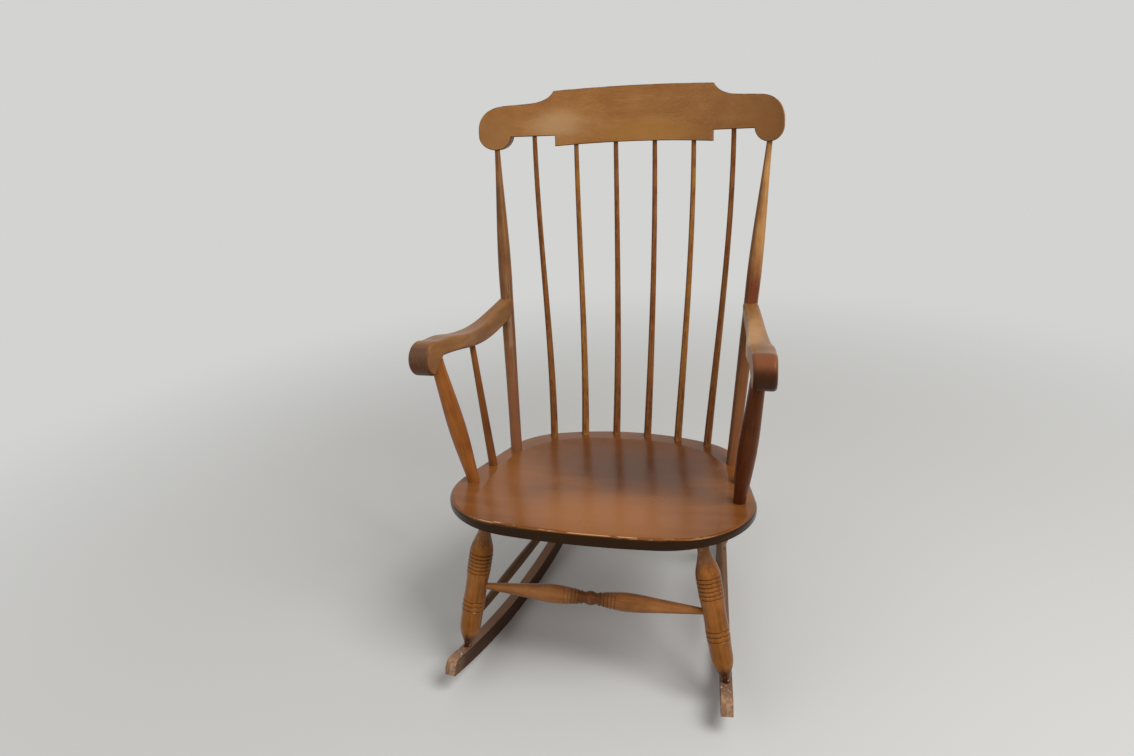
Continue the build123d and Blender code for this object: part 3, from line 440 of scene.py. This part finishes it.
@dataclass(frozen=True)
class StainedMaple:
    """Maple, planed or turned, stained brown and lacquered.

    Maple has hardly any pores: the eye gets soft broad figure, short fine streaks along the grain
    and cloudy places where the stain took more.
    """

    LACQUER_IOR = 1.5
    CLOUD_RANGE = (0.3, 0.7)           # between these the clouds' noise changes the roughness
    ROUGHNESS_SPREAD = (-0.05, 0.08)   # by so much, from thin stain to thick
    GRAIN_STRENGTH = 0.25

    name: str
    dark: str
    middle: str
    light: str
    sheen: Sheen = Sheen.SATIN
    streak_mm: float = 1.6        # drawn coarser than the real 0.5 mm, so that it shows
    streak_run_mm: float = 45.0
    streak_share: float = 0.30
    figure_mm: float = 16.0
    figure_run_mm: float = 260.0
    figure_share: float = 0.38
    cloud_mm: float = 70.0
    cloud_share: float = 0.32
    tone_reach: float = 0.14      # how far the noise strays from its middle before the ramp ends
    grain_depth_mm: float = 0.06
    lacquer: str = "#C89C6C"      # aged amber, which warms what the wood mirrors

    def _stain(self, tree: bpy.types.NodeTree, tone: Socket) -> Socket:
        """Colour the bare pattern.

        Args:
            tree: The material's tree.
            tone: The pattern, around 0.5.

        Returns:
            The stained wood's colour, from dark to light.
        """
        ramp = add_node(tree, "ShaderNodeValToRGB", {"Fac": tone})
        stops = ramp.color_ramp.elements
        stops[0].position, stops[0].color = 0.5 - self.tone_reach, linear_colour(self.dark)
        stops[1].position, stops[1].color = 0.5 + self.tone_reach, linear_colour(self.light)
        stops.new(0.5).color = linear_colour(self.middle)
        return ramp.outputs["Color"]

    def material(
        self, label: str, axes: PieceAxes, patches: tuple[Patch, ...] = ()
    ) -> bpy.types.Material:
        """Build the finish for one piece.

        Args:
            label: The piece's name, which the material's name ends in.
            axes: The piece's grain frame.
            patches: Worn, dirty or darker places, and painted shade and highlights, in the order
                they lie over each other.

        Returns:
            The material.
        """
        material = bpy.data.materials.new(self.name + "_" + label)
        material.use_nodes = True
        tree = material.node_tree
        tree.nodes.clear()
        place = add_node(tree, "ShaderNodeTexCoord").outputs["Object"]
        grain = add_node(
            tree, "ShaderNodeMapping",
            {"Vector": place, "Location": axes.origin, "Rotation": axes.rotation.to_euler()},
            {"vector_type": "TEXTURE"},
        ).outputs[0]
        spot = Spot(tree, place, grain)
        streaks = spot.cells(self.streak_mm, self.streak_run_mm)
        figure = spot.cells(self.figure_mm, self.figure_run_mm, Spot.BROAD_OCTAVES)
        clouds = spot.cells(self.cloud_mm, self.cloud_mm, Spot.BROAD_OCTAVES)
        tone = spot.blend(
            (streaks, self.streak_share), (figure, self.figure_share), (clouds, self.cloud_share)
        )
        colour = self._stain(tree, tone)
        for patch in patches:
            colour = patch.over(spot, colour)
        roughness, mirror = self.sheen.value
        uneven = add_node(
            tree, "ShaderNodeMapRange",
            {
                "Value": clouds, "From Min": self.CLOUD_RANGE[0], "From Max": self.CLOUD_RANGE[1],
                "To Min": roughness + self.ROUGHNESS_SPREAD[0],
                "To Max": roughness + self.ROUGHNESS_SPREAD[1],
            },
        ).outputs[0]
        bump = add_node(
            tree, "ShaderNodeBump",
            {
                "Height": streaks, "Strength": self.GRAIN_STRENGTH,
                "Distance": self.grain_depth_mm * MM,
            },
        ).outputs[0]
        shader = add_node(
            tree, "ShaderNodeBsdfPrincipled",
            {
                "Base Color": colour, "Roughness": uneven, "IOR": self.LACQUER_IOR,
                "Specular IOR Level": mirror, "Specular Tint": linear_colour(self.lacquer),
                "Normal": bump,
            },
        )
        add_node(tree, "ShaderNodeOutputMaterial", {"Surface": shader.outputs[0]})
        return material


def dress(name: str, finish: StainedMaple, patches: tuple[Patch, ...] = ()) -> PieceAxes:
    """Give a CAD node its finish.

    Args:
        name: The node's name.
        finish: The wood and its stain.
        patches: Worn or darker places, and painted shade and highlights.

    Returns:
        The piece's axes, for what is laid on it.
    """
    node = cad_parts[name]
    axes = PieceAxes.of_node(node)
    material = finish.material(name, axes, patches)
    for slot in node.material_slots:
        slot.material = material
    LOG.info("%s dressed in %s", name, finish.name)
    return axes


class RingTurning:
    """Rounded ribs between the V-grooves of a turning, made by one geometry tree."""

    SEGMENTS = 96
    PROFILE_POINTS = 20
    KINDS = {
        "Count": "NodeSocketInt", "Pitch": "NodeSocketFloat", "First": "NodeSocketFloat",
        "Radius": "NodeSocketFloat", "Half width": "NodeSocketFloat", "Crown": "NodeSocketFloat",
        "Finish": "NodeSocketMaterial",
    }

    def __init__(self) -> None:
        """Build the tree: one rib, copied up the axis."""
        tree = bpy.data.node_groups.new("ring_turning", "GeometryNodeTree")
        self.tree = tree
        self.sockets: dict[str, str] = {}
        for name, kind in self.KINDS.items():
            socket = tree.interface.new_socket(name=name, in_out="INPUT", socket_type=kind)
            self.sockets[name] = socket.identifier
        tree.interface.new_socket(
            name="Ribs", in_out="OUTPUT", socket_type="NodeSocketGeometry"
        )
        given = add_node(tree, "NodeGroupInput").outputs
        start = add_node(tree, "ShaderNodeCombineXYZ", {"Z": given["First"]}).outputs[0]
        step = add_node(tree, "ShaderNodeCombineXYZ", {"Z": given["Pitch"]}).outputs[0]
        places = add_node(
            tree, "GeometryNodeMeshLine",
            {"Count": given["Count"], "Start Location": start, "Offset": step},
            {"mode": "OFFSET"},
        ).outputs[0]
        hoop = add_node(
            tree, "GeometryNodeCurvePrimitiveCircle",
            {"Resolution": self.SEGMENTS, "Radius": given["Radius"]}, {"mode": "RADIUS"},
        ).outputs[0]
        upright = add_node(
            tree, "GeometryNodeSetCurveNormal", {"Curve": hoop}, {"mode": "Z_UP"}
        ).outputs[0]
        disc = add_node(
            tree, "GeometryNodeCurvePrimitiveCircle",
            {"Resolution": self.PROFILE_POINTS, "Radius": 1.0}, {"mode": "RADIUS"},
        ).outputs[0]
        shape = add_node(
            tree, "ShaderNodeCombineXYZ", {"X": given["Crown"], "Y": given["Half width"], "Z": 1.0}
        ).outputs[0]
        section = add_node(
            tree, "GeometryNodeTransform", {"Geometry": disc, "Scale": shape}
        ).outputs[0]
        rib = add_node(
            tree, "GeometryNodeCurveToMesh", {"Curve": upright, "Profile Curve": section}
        ).outputs[0]
        copies = add_node(
            tree, "GeometryNodeInstanceOnPoints", {"Points": places, "Instance": rib}
        ).outputs[0]
        solid = add_node(tree, "GeometryNodeRealizeInstances", {"Geometry": copies}).outputs[0]
        smooth = add_node(tree, "GeometryNodeSetShadeSmooth", {"Geometry": solid}).outputs[0]
        finished = add_node(
            tree, "GeometryNodeSetMaterial", {"Geometry": smooth, "Material": given["Finish"]}
        ).outputs[0]
        add_node(tree, "NodeGroupOutput", {"Ribs": finished})

    def lay(
        self,
        name: str,
        slot: str,
        axes: PieceAxes,
        material: bpy.types.Material,
        sizes: dict[str, Number],
    ) -> None:
        """Make one row of ribs on a turned piece, riding the chair.

        Args:
            name: The new piece's name.
            slot: Not used.
            axes: The turned piece's axes.
            material: Its finish.
            sizes: The tree's numbers, by input name, in metres.
        """
        carrier = bpy.data.objects.new(name + "_tree", bpy.data.meshes.new(name + "_tree"))
        bpy.context.scene.collection.objects.link(carrier)
        modifier = carrier.modifiers.new("ring_turning", "NODES")
        modifier.node_group = self.tree
        for key, value in sizes.items():
            modifier[self.sockets[key]] = value
        modifier[self.sockets["Finish"]] = material
        graph = bpy.context.evaluated_depsgraph_get()
        mesh = bpy.data.meshes.new_from_object(carrier.evaluated_get(graph))
        mesh.name = name
        mesh.transform(axes.matrix())
        bpy.data.objects.remove(carrier)
        piece = bpy.data.objects.new(name, mesh)
        bpy.context.scene.collection.objects.link(piece)
        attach(piece, BODY)
        LOG.info("%s: %d ribs", name, sizes["Count"])


@dataclass
class Seat:
    """The saddled slab, polished by use."""

    tilt_deg: float = 5.07
    origin_y_mm: float = -130.83
    origin_z_mm: float = 341.9
    finish: StainedMaple = StainedMaple(
        "stained_maple_seat", "#61391A", "#764520", "#885529", Sheen.POLISHED,
        streak_mm=2.4, streak_run_mm=120.0, streak_share=0.2,
        figure_mm=30.0, figure_run_mm=400.0, figure_share=0.34,
        cloud_mm=110.0, cloud_share=0.46, tone_reach=0.18, grain_depth_mm=0.03,
    )

    def _at(self, x: float, back: float) -> Triple:
        """Find a point of the tilted seat's plane in the chair's frame.

        Args:
            x: Millimetres to the right of the seat's middle.
            back: Millimetres behind its origin, along the seat.

        Returns:
            The point, in millimetres.
        """
        tilt = math.radians(self.tilt_deg)
        return (
            x,
            self.origin_y_mm + back * math.cos(tilt),
            self.origin_z_mm - back * math.sin(tilt),
        )

    def build(self) -> None:
        """Dress the seat: golden front, dark cloud behind it, painted shade on its rear, rim and
        edge, and a worn rim with a painted highlight.
        """
        tilt = math.radians(self.tilt_deg)
        up = (0.0, math.sin(tilt), math.cos(tilt))
        down = (0.0, -up[1], -up[2])
        golden_front = Patch(
            "#965A24", 0.85, (Around(self._at(20, -125), (300, 170, 90), soft=1.0),),
            breakup=0.5, speck_mm=60.0, edge=0.5,
        )
        rubbed_left = Patch(
            "#8C5830", 0.6, (Around(self._at(-190, 10), (120, 200, 90), soft=1.0),),
            breakup=0.4, speck_mm=50.0, edge=0.5,
        )
        # Painted shade: the seat's rear half drawn darker, as if shaded by the back.
        rear_painted_shade = Patch(
            "#56301A", 0.6, (Around(self._at(10, 130), (300, 170, 90), soft=0.8),),
            breakup=0.4, speck_mm=80.0, edge=0.5,
        )
        dark_cloud = Patch(
            "#462618", 0.68, (Around(self._at(45, 80), (230, 150, 90), soft=1.0),),
            breakup=0.4, speck_mm=60.0, edge=0.5,
        )
        red_corner = Patch(
            "#5C341E", 0.55, (Around(self._at(150, 150), (150, 120, 90), soft=1.0),),
            breakup=0.5, speck_mm=40.0, edge=0.5,
        )
        # Painted shade: the rim's rounding darkens as it turns down, and the seat's edge is drawn
        # nearly black.
        rim_painted_shade = Patch("#4E2C1A", 0.5, (Facing(up, 0.80, 0.90), Facing(down, -0.985, -0.955)))
        edge_painted_shade = Patch("#160C07", 0.98, (Facing(up, -0.9, -0.7), Facing(down, -0.82, -0.55)))
        # Pale broken line along the front of the rim: worn chips, and a painted highlight on the
        # rounding.
        chipped_rim_and_highlight = Patch(
            "#C8A07A", 0.8,
            (
                Facing(up, 0.78, 0.85), Facing(down, -0.95, -0.91),
                Beyond(FORWARD, 300.0, soft_mm=20.0), Specks(14.0, 60.0, level=0.5),
            ),
        )
        dress("seat", self.finish, (
            golden_front, rubbed_left, rear_painted_shade, dark_cloud, red_corner, rim_painted_shade,
            edge_painted_shade, chipped_rim_and_highlight,
        ))


@dataclass
class Back:
    """Crest rail, posts and bent spindles."""

    board_facing: Triple = (0.0, -0.975, 0.130)
    golden: tuple[int, ...] = (2, 5)      # the spindles of lighter wood, from the left
    spindle_count: int = 6
    crest: StainedMaple = StainedMaple(
        "stained_maple_crest", "#7B502B", "#8C5F36", "#9C6E43",
        streak_mm=1.4, streak_run_mm=60.0, streak_share=0.42, figure_share=0.30,
        cloud_mm=55.0, cloud_share=0.28, tone_reach=0.17,
    )
    left_post: StainedMaple = StainedMaple(
        "stained_maple_left_post", "#563821", "#70492D", "#86603F"
    )
    right_post: StainedMaple = StainedMaple(
        "stained_maple_right_post", "#785230", "#9A6E42", "#B08450"
    )
    red_spindle: StainedMaple = StainedMaple(
        "red_maple_spindle", "#543018", "#754724", "#8C5E30", cloud_mm=42.0, figure_mm=8.0
    )
    gold_spindle: StainedMaple = StainedMaple(
        "golden_maple_spindle", "#643C1C", "#85572A", "#9C6C35", cloud_mm=42.0, figure_mm=8.0
    )

    def build(self) -> None:
        """Dress the back."""
        self._crest()
        self._posts()
        shaded_side = Patch("#4A2416", 0.6, (Facing((-1.0, -0.1, 0.0), 0.35, 0.75),))
        gathered_stain = Patch("#5A2A1A", 0.6, (Specks(5.0, 40.0, level=0.56),))
        for number in range(1, self.spindle_count + 1):
            finish = self.gold_spindle if number in self.golden else self.red_spindle
            dress("back_spindle_" + str(number), finish, (shaded_side, gathered_stain))

    def _crest(self) -> None:
        """The crest rail: rubbed pale on the left, darker lobes, dark edge worn pale along its top,
        where a painted highlight also lies.
        """
        rubbed_pale = Patch(
            "#B09068", 0.55, (Around((-160, 243, 966), (110, 60, 48), soft=1.0),),
            breakup=0.4, speck_mm=14.0, edge=0.5,
        )
        golden_foot = Patch(
            "#9E7038", 0.6, (Around((30, 270, 942), (190, 60, 40), soft=1.0),),
            breakup=0.4, speck_mm=24.0, edge=0.5,
        )
        left_lobe = Patch(
            "#86603A", 0.6, (Around((-290, 185, 950), (110, 80, 80), soft=1.0),),
            breakup=0.4, speck_mm=16.0, edge=0.5,
        )
        right_lobe = Patch(
            "#8A5C34", 0.7, (Around((285, 185, 960), (130, 80, 80), soft=1.0),),
            breakup=0.4, speck_mm=16.0, edge=0.5,
        )
        dark_edge = Patch("#4A2C18", 0.9, (Facing(self.board_facing, 0.86, 0.62, either_way=True),))
        # Pale line on the top arris: wear, and a painted highlight.
        worn_arris_and_highlight = Patch(
            "#A8845C", 0.5,
            (
                Facing(self.board_facing, 0.45, 0.60, either_way=True),
                Facing(UPWARD, 0.3, 0.6), Specks(8.0, 90.0, level=0.52),
            ),
        )
        dress("crest_rail", self.crest, (
            rubbed_pale, golden_foot, left_lobe, right_lobe, dark_edge, worn_arris_and_highlight,
        ))

    def _posts(self) -> None:
        """The back posts: a left one with a painted grey highlight down its front, and a pale right
        one that is red at the arm.
        """
        # Painted highlight: a pale grey streak on the faces that look forward and to the right.
        front_painted_highlight = Patch(
            "#9A7C66", 0.45,
            (
                Facing((0.55, -0.8, 0.2), 0.86, 0.98), Along(120, 420, soft_mm=80),
                Specks(6.0, 60.0, level=0.45),
            ),
        )
        redder_foot = Patch(
            "#7C4E36", 0.7, (Along(-60, 260, soft_mm=120),), breakup=0.3, speck_mm=20.0, edge=0.5
        )
        dress("back_post_left", self.left_post, (front_painted_highlight, redder_foot))
        red_at_arm = Patch(
            "#5A2418", 0.85, (Around((256, 94, 650), (60, 60, 120), soft=1.0),),
            breakup=0.5, speck_mm=8.0, edge=0.45,
        )
        dark_foot = Patch(
            "#5E3020", 0.75, (Along(-60, 340, soft_mm=90),), breakup=0.3, speck_mm=14.0, edge=0.5
        )
        shaded_side = Patch("#54301C", 0.6, (Facing((-0.95, -0.2, 0.0), 0.35, 0.8),))
        dress("back_post_right", self.right_post, (red_at_arm, dark_foot, shaded_side))


@dataclass
class Arms:
    """Scroll arms with their posts and spindles."""

    arm: StainedMaple = StainedMaple(
        "stained_maple_arm", "#684323", "#7C522B", "#8D6239", cloud_mm=45.0, grain_depth_mm=0.02
    )
    left_post: StainedMaple = StainedMaple(
        "golden_maple_arm_post", "#6E3E1A", "#8E5426", "#A66A34"
    )
    right_post: StainedMaple = StainedMaple(
        "dark_maple_arm_post", "#341709", "#4A2311", "#5E301A"
    )
    spindle: StainedMaple = StainedMaple(
        "stained_maple_arm_spindle", "#522E18", "#714321", "#86572C"
    )

    def build(self) -> None:
        """Dress both arms and what carries them."""
        self._left_arm()
        self._right_arm()
        for side, finish in zip(SIDES, (self.left_post, self.right_post)):
            outer_side = Facing(mirrored(side, (1.0, -0.1, 0.0)), 0.4, 0.85)
            dress("arm_post_" + side, finish, (Patch("#5A2C12", 0.6, (outer_side,)),))
            dress("arm_spindle_" + side, self.spindle)

    def _left_arm(self) -> None:
        """The left arm: handled nose dark and scuffed, top painted a little paler as a highlight,
        underside painted darker as shade.
        """
        # Painted highlight: the faces that look up drawn a little paler.
        paler_top_painted_highlight = Patch(
            "#8A6038", 0.4, (Facing(UPWARD, 0.70, 0.95),), breakup=0.4, speck_mm=20.0, edge=0.5
        )
        nose = Beyond(FORWARD, 205.0, soft_mm=14.0)
        dark_nose = Patch(
            "#503528", 0.92, (Facing((0.0, -1.0, -0.1), 0.25, 0.7), nose),
            breakup=0.5, speck_mm=5.0, edge=0.2,
        )
        scuffs = Patch("#6E5644", 0.3, (nose, Specks(5.0, 7.0, level=0.56)))
        greyed_brow = Patch(
            "#5E4536", 0.7,
            (Facing((0.0, -0.6, 0.8), 0.8, 0.95), Beyond(FORWARD, 215.0, soft_mm=12.0)),
        )
        # Painted shade: the faces that look down drawn darker.
        underside_painted_shade = Patch("#4E3020", 0.6, (Facing(DOWNWARD, 0.3, 0.7),))
        dress("arm_left", self.arm, (paler_top_painted_highlight, dark_nose, scuffs, greyed_brow, underside_painted_shade))

    def _right_arm(self) -> None:
        """The right arm: top painted pale as a highlight, nose red-brown above and nearly black
        below, underside painted darker as shade.
        """
        # Painted highlight: the arm's top drawn pale.
        pale_top_painted_highlight = Patch(
            "#B38C62", 0.8, (Around((265, -60, 622), (40, 190, 60), soft=1.0),),
            breakup=0.4, speck_mm=12.0, edge=0.5,
        )
        red_nose = Patch(
            "#70422C", 0.94,
            (Beyond(FORWARD, 190.0, soft_mm=36.0), Facing((0.0, -1.0, 0.5), 0.2, 0.7)),
            breakup=0.3, speck_mm=8.0, edge=0.4,
        )
        dark_chin = Patch(
            "#2E1810", 0.9,
            (Beyond((0.0, -0.93, -0.37), -24.0, soft_mm=26.0), Facing(FORWARD, 0.2, 0.6)),
            breakup=0.3, speck_mm=8.0, edge=0.5,
        )
        # Painted shade: the faces that look down drawn darker.
        underside_painted_shade = Patch("#3A1E14", 0.7, (Facing(DOWNWARD, 0.3, 0.7),))
        dress("arm_right", self.arm, (pale_top_painted_highlight, red_nose, dark_chin, underside_painted_shade))


@dataclass(frozen=True)
class GrooveRow:
    """A block of V-grooves in a leg, counted up from the shoulder of the foot's tenon."""

    name: str
    first_mm: float
    count: int
    pitch_mm: float
    diameter_mm: float


@dataclass
class Base:
    """Legs, stretchers and rockers."""

    foot_tenon_mm: float = 18.0
    groove_width_mm: float = 3.2
    groove_fade_mm: float = 0.6           # how softly a block's brown grooves begin and end
    groove_skin_mm: float = 0.2           # the brown begins this far under the turned surface
    rows: tuple[GrooveRow, ...] = (
        GrooveRow("lower", first_mm=84.0, count=3, pitch_mm=9.0, diameter_mm=42.0),
        GrooveRow("upper", first_mm=163.0, count=6, pitch_mm=7.6, diameter_mm=44.0),
    )
    rib_crown_mm: float = 0.9
    rib_sunk_mm: float = 0.5              # a rib's middle lies this far under the surface
    rib_groove_share: float = 0.6         # of half a groove's width, left open beside a rib
    bead_mm: Triple = (0.0, -281.0, 186.0)
    leg: StainedMaple = StainedMaple(
        "stained_maple_leg", "#5B3412", "#804D20", "#9B6231", Sheen.POLISHED, cloud_mm=50.0
    )
    bar: StainedMaple = StainedMaple(
        "stained_maple_stretcher", "#6A4122", "#8A5933", "#A06E42", cloud_mm=40.0
    )
    plain_bar: StainedMaple = StainedMaple(
        "dull_maple_stretcher", "#4A3424", "#5E4430", "#72563E", Sheen.DULL, cloud_mm=40.0
    )
    rocker: StainedMaple = StainedMaple(
        "stained_maple_rocker", "#402A1E", "#53392A", "#6A4C38", Sheen.DULL, cloud_mm=60.0
    )
    turning: RingTurning = field(default_factory=RingTurning)

    def build(self) -> None:
        """Dress the base and round its ring turnings."""
        for side in SIDES:
            for end in ("front", "rear"):
                self._leg(end + "_leg_" + side)
            dress("side_stretcher_" + side, self.plain_bar)
            self._rocker(side)
        darker_middle = Patch(
            "#5E3822", 0.6, (Around(self.bead_mm, (80, 40, 40), soft=0.8),),
            breakup=0.3, speck_mm=8.0,
        )
        # The coves' bottoms drawn brown: gathered stain, and painted shade.
        coves_stain_and_shade = Patch(
            "#54301A", 0.75, (Core(13.4, soft_mm=1.2), Around(self.bead_mm, (75, 40, 40), soft=0.1))
        )
        dress("front_stretcher", self.bar, (darker_middle, coves_stain_and_shade))
        dress("rear_stretcher", self.plain_bar)

    def _rocker(self, side: str) -> None:
        """Dress one rocker: pinkish top painted paler as if lit, inner side painted darker as
        shade, and tips worn to the bare wood.

        Args:
            side: Left or right.
        """
        tip = mirrored(side, (252, -372, 62))
        foot = mirrored(side, (246, -330, 72))
        inward = mirrored(side, (-1.0, 0.0, 0.0))
        # Painted light: the faces that look up drawn paler, broken up by noise.
        top_painted_light = Patch(
            "#80604A", 0.7, (Facing(UPWARD, 0.6, 0.9),), breakup=0.5, speck_mm=12.0, edge=0.4
        )
        worn_tip = Patch(
            "#8A6A52", 0.8, (Around(tip, (50, 60, 60), soft=1.0),),
            breakup=0.6, speck_mm=5.0, edge=0.4,
        )
        bare_wood = Patch(
            "#A98A70", 0.6, (Around(tip, (46, 40, 60), soft=0.9), Specks(5.0, 9.0, level=0.5))
        )
        foot_chips = Patch(
            "#CDBFAA", 0.7, (Around(foot, (26, 34, 20), soft=0.6), Specks(4.0, 7.0, level=0.60))
        )
        # Painted shade: the faces that look in under the chair drawn dark.
        inside_painted_shade = Patch("#2A1A11", 0.6, (Facing(inward, 0.5, 0.8),))
        dress("rocker_" + side, self.rocker, (
            top_painted_light, worn_tip, bare_wood, foot_chips, inside_painted_shade,
        ))

    def _leg(self, name: str) -> None:
        """Dress one leg: brown grooves of gathered stain and painted shade, greyed neck, dark
        chipped ankle, and two rows of ribs.

        Args:
            name: The leg's node.
        """
        base = self.foot_tenon_mm
        half = self.groove_width_mm / 2
        # The groove bottoms drawn brown: gathered stain, and painted shade.
        grooves = tuple(self._brown_grooves(row) for row in self.rows)
        greyed_neck = Patch(
            "#7C5A44", 0.55, (Along(230, 340, soft_mm=30),), breakup=0.4, speck_mm=8.0, edge=0.4
        )
        neck_scratches = Patch(
            "#B0947C", 0.45, (Along(215, 300, soft_mm=20), Specks(3.0, 14.0, level=0.64))
        )
        dark_ankle = Patch(
            "#34190C", 0.85, (Along(base - 40, base + 46, soft_mm=34),),
            breakup=0.4, speck_mm=6.0, edge=0.4,
        )
        ankle_chips = Patch(
            "#D0C2AE", 0.75, (Along(base - 10, base + 16, soft_mm=6), Specks(3.0, 5.0, level=0.62))
        )
        wear = (greyed_neck, neck_scratches, dark_ankle, ankle_chips)
        axes = dress(name, self.leg, grooves + wear)
        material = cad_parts[name].material_slots[0].material
        for row in self.rows:
            sizes = {
                "Count": row.count - 1,
                "Pitch": row.pitch_mm * MM,
                "First": (base + row.first_mm + row.pitch_mm / 2) * MM,
                "Radius": (row.diameter_mm / 2 - self.rib_sunk_mm) * MM,
                "Half width": (row.pitch_mm / 2 - half * self.rib_groove_share) * MM,
                "Crown": self.rib_crown_mm * MM,
            }
            self.turning.lay(name + "_" + row.name + "_ribs", "leg_wood", axes, material, sizes)

    def _brown_grooves(self, row: GrooveRow) -> Patch:
        """Make the darkening in one block's grooves: stain gathered there, and painted shade.

        Args:
            row: The block.

        Returns:
            The patch.
        """
        half = self.groove_width_mm / 2
        first = self.foot_tenon_mm + row.first_mm
        last = first + (row.count - 1) * row.pitch_mm
        return Patch(
            "#5A3415", 0.85,
            (
                Core(row.diameter_mm / 2 - self.groove_skin_mm),
                Along(first - half, last + half, soft_mm=self.groove_fade_mm),
            ),
        )


@dataclass
class Studio:
    """Floor, light and camera."""

    floor_colour: str = "#C6C5C2"
    background: str = "#D3D3D1"
    floor_size_m: float = 60.0
    floor_roughness: float = 0.9
    fade_from_m: float = 0.7
    fade_to_m: float = 2.4
    ambient: float = 0.48
    aim_m: Triple = (0.0, 0.0, 0.5)
    key_place_m: Triple = (1.7, -1.0, 2.7)
    key_size_m: float = 1.5
    key_watts: float = 74.0
    fill_place_m: Triple = (-2.2, -1.8, 1.8)
    fill_size_m: float = 2.2
    fill_watts: float = 16.0
    camera_place_m: Triple = (0.3679, -1.5053, 1.1537)
    yaw_deg: float = 17.33
    pitch_deg: float = 22.52
    roll_deg: float = -4.27
    sensor_mm: float = 36.0
    lens_mm: float = 26.90
    sight_m: float = 200.0

    def build(self) -> None:
        """Make the whole setting."""
        self._floor()
        self._world()
        self._lamp("key", self.key_place_m, self.key_size_m, self.key_watts)
        self._lamp("fill", self.fill_place_m, self.fill_size_m, self.fill_watts)
        self._camera()
        bpy.context.scene.view_settings.view_transform = "Standard"

    @staticmethod
    def _seen(tree: bpy.types.NodeTree) -> Socket:
        """Tell what the camera sees from what only lights the chair.

        Args:
            tree: The floor's or the world's tree.

        Returns:
            1 for what the camera sees, directly, mirrored or through glass, and 0 otherwise.
        """
        rays = add_node(tree, "ShaderNodeLightPath").outputs
        seen = rays["Is Camera Ray"]
        for kind in ("Is Glossy Ray", "Is Transmission Ray"):
            seen = add_node(
                tree, "ShaderNodeMath", {0: seen, 1: rays[kind]}, {"operation": "MAXIMUM"}
            ).outputs[0]
        return seen

    def _floor(self) -> None:
        """A matt painted floor: it takes soft shadows, mirrors nothing and fades far out."""
        shape = bmesh.new()
        bmesh.ops.create_grid(shape, x_segments=4, y_segments=4, size=self.floor_size_m / 2)
        mesh = bpy.data.meshes.new("floor")
        shape.to_mesh(mesh)
        shape.free()
        floor = bpy.data.objects.new("floor", mesh)
        bpy.context.scene.collection.objects.link(floor)
        material = bpy.data.materials.new("matt_painted_floor")
        material.use_nodes = True
        tree = material.node_tree
        tree.nodes.clear()
        place = add_node(tree, "ShaderNodeTexCoord").outputs["Object"]
        away = add_node(
            tree, "ShaderNodeVectorMath", {0: place}, {"operation": "LENGTH"}
        ).outputs["Value"]
        spot = Spot(tree, place, place)
        far = spot.both(spot.fade(away, self.fade_to_m, self.fade_from_m), self._seen(tree))
        paint = add_node(
            tree, "ShaderNodeBsdfPrincipled",
            {"Base Color": linear_colour(self.floor_colour), "Roughness": self.floor_roughness},
        ).outputs[0]
        backdrop = add_node(
            tree, "ShaderNodeEmission", {"Color": linear_colour(self.background)}
        ).outputs[0]
        mixed = add_node(
            tree, "ShaderNodeMixShader", {0: far, 1: paint, 2: backdrop}
        ).outputs[0]
        add_node(tree, "ShaderNodeOutputMaterial", {"Surface": mixed})
        mesh.materials.append(material)

    def _world(self) -> None:
        """The pale background where it is seen or mirrored, and a soft light for the rest."""
        world = bpy.data.worlds.new("studio")
        bpy.context.scene.world = world
        world.use_nodes = True
        tree = world.node_tree
        tree.nodes.clear()
        lighting = add_node(
            tree, "ShaderNodeBackground", {"Color": (1, 1, 1, 1), "Strength": self.ambient}
        ).outputs[0]
        shown = add_node(
            tree, "ShaderNodeBackground",
            {"Color": linear_colour(self.background), "Strength": 1.0},
        ).outputs[0]
        mixed = add_node(
            tree, "ShaderNodeMixShader", {0: self._seen(tree), 1: lighting, 2: shown}
        ).outputs[0]
        add_node(tree, "ShaderNodeOutputWorld", {"Surface": mixed})

    def _lamp(self, name: str, place_m: Triple, size_m: float, watts: float) -> None:
        """Hang a square soft lamp that looks at the middle of the chair.

        Args:
            name: The lamp's name.
            place_m: Its place.
            size_m: The length of its sides.
            watts: Its power.
        """
        light = bpy.data.lights.new(name, "AREA")
        light.size = size_m
        light.energy = watts
        lamp = bpy.data.objects.new(name, light)
        bpy.context.scene.collection.objects.link(lamp)
        lamp.location = place_m
        look = Vector(self.aim_m) - Vector(place_m)
        lamp.rotation_euler = look.to_track_quat("-Z", "Y").to_euler()

    def _camera(self) -> None:
        """The camera: turned left by the yaw, tipped down by the pitch, then rolled."""
        yaw, pitch, roll = (math.radians(a) for a in (self.yaw_deg, self.pitch_deg, self.roll_deg))
        reach = math.cos(pitch)
        forward = Vector((-math.sin(yaw) * reach, math.cos(yaw) * reach, -math.sin(pitch)))
        level = Vector((math.cos(yaw), math.sin(yaw), 0))
        upright = level.cross(forward)
        right = level * math.cos(roll) + upright * math.sin(roll)
        up = upright * math.cos(roll) - level * math.sin(roll)
        data = bpy.data.cameras.new("camera")
        data.sensor_width = self.sensor_mm
        data.lens = self.lens_mm
        data.clip_end = self.sight_m
        camera = bpy.data.objects.new("camera", data)
        bpy.context.scene.collection.objects.link(camera)
        turned = Matrix((right, up, -forward)).transposed().to_4x4()
        camera.matrix_world = Matrix.Translation(self.camera_place_m) @ turned
        bpy.context.scene.camera = camera


def clear_start_up() -> None:
    """Remove the objects of Blender's own start-up scene."""
    for name in ("Cube", "Light", "Camera"):
        if name in bpy.data.objects:
            bpy.data.objects.remove(bpy.data.objects[name])


def main() -> None:
    """Build the chair and its setting."""
    logging.basicConfig(level=logging.INFO, format="%(message)s")
    clear_start_up()
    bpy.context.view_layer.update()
    for part in (Seat(), Back(), Arms(), Base()):
        part.build()
        LOG.info("%s done", type(part).__name__)
    Studio().build()
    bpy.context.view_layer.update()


if __name__ == "__main__":
    main()
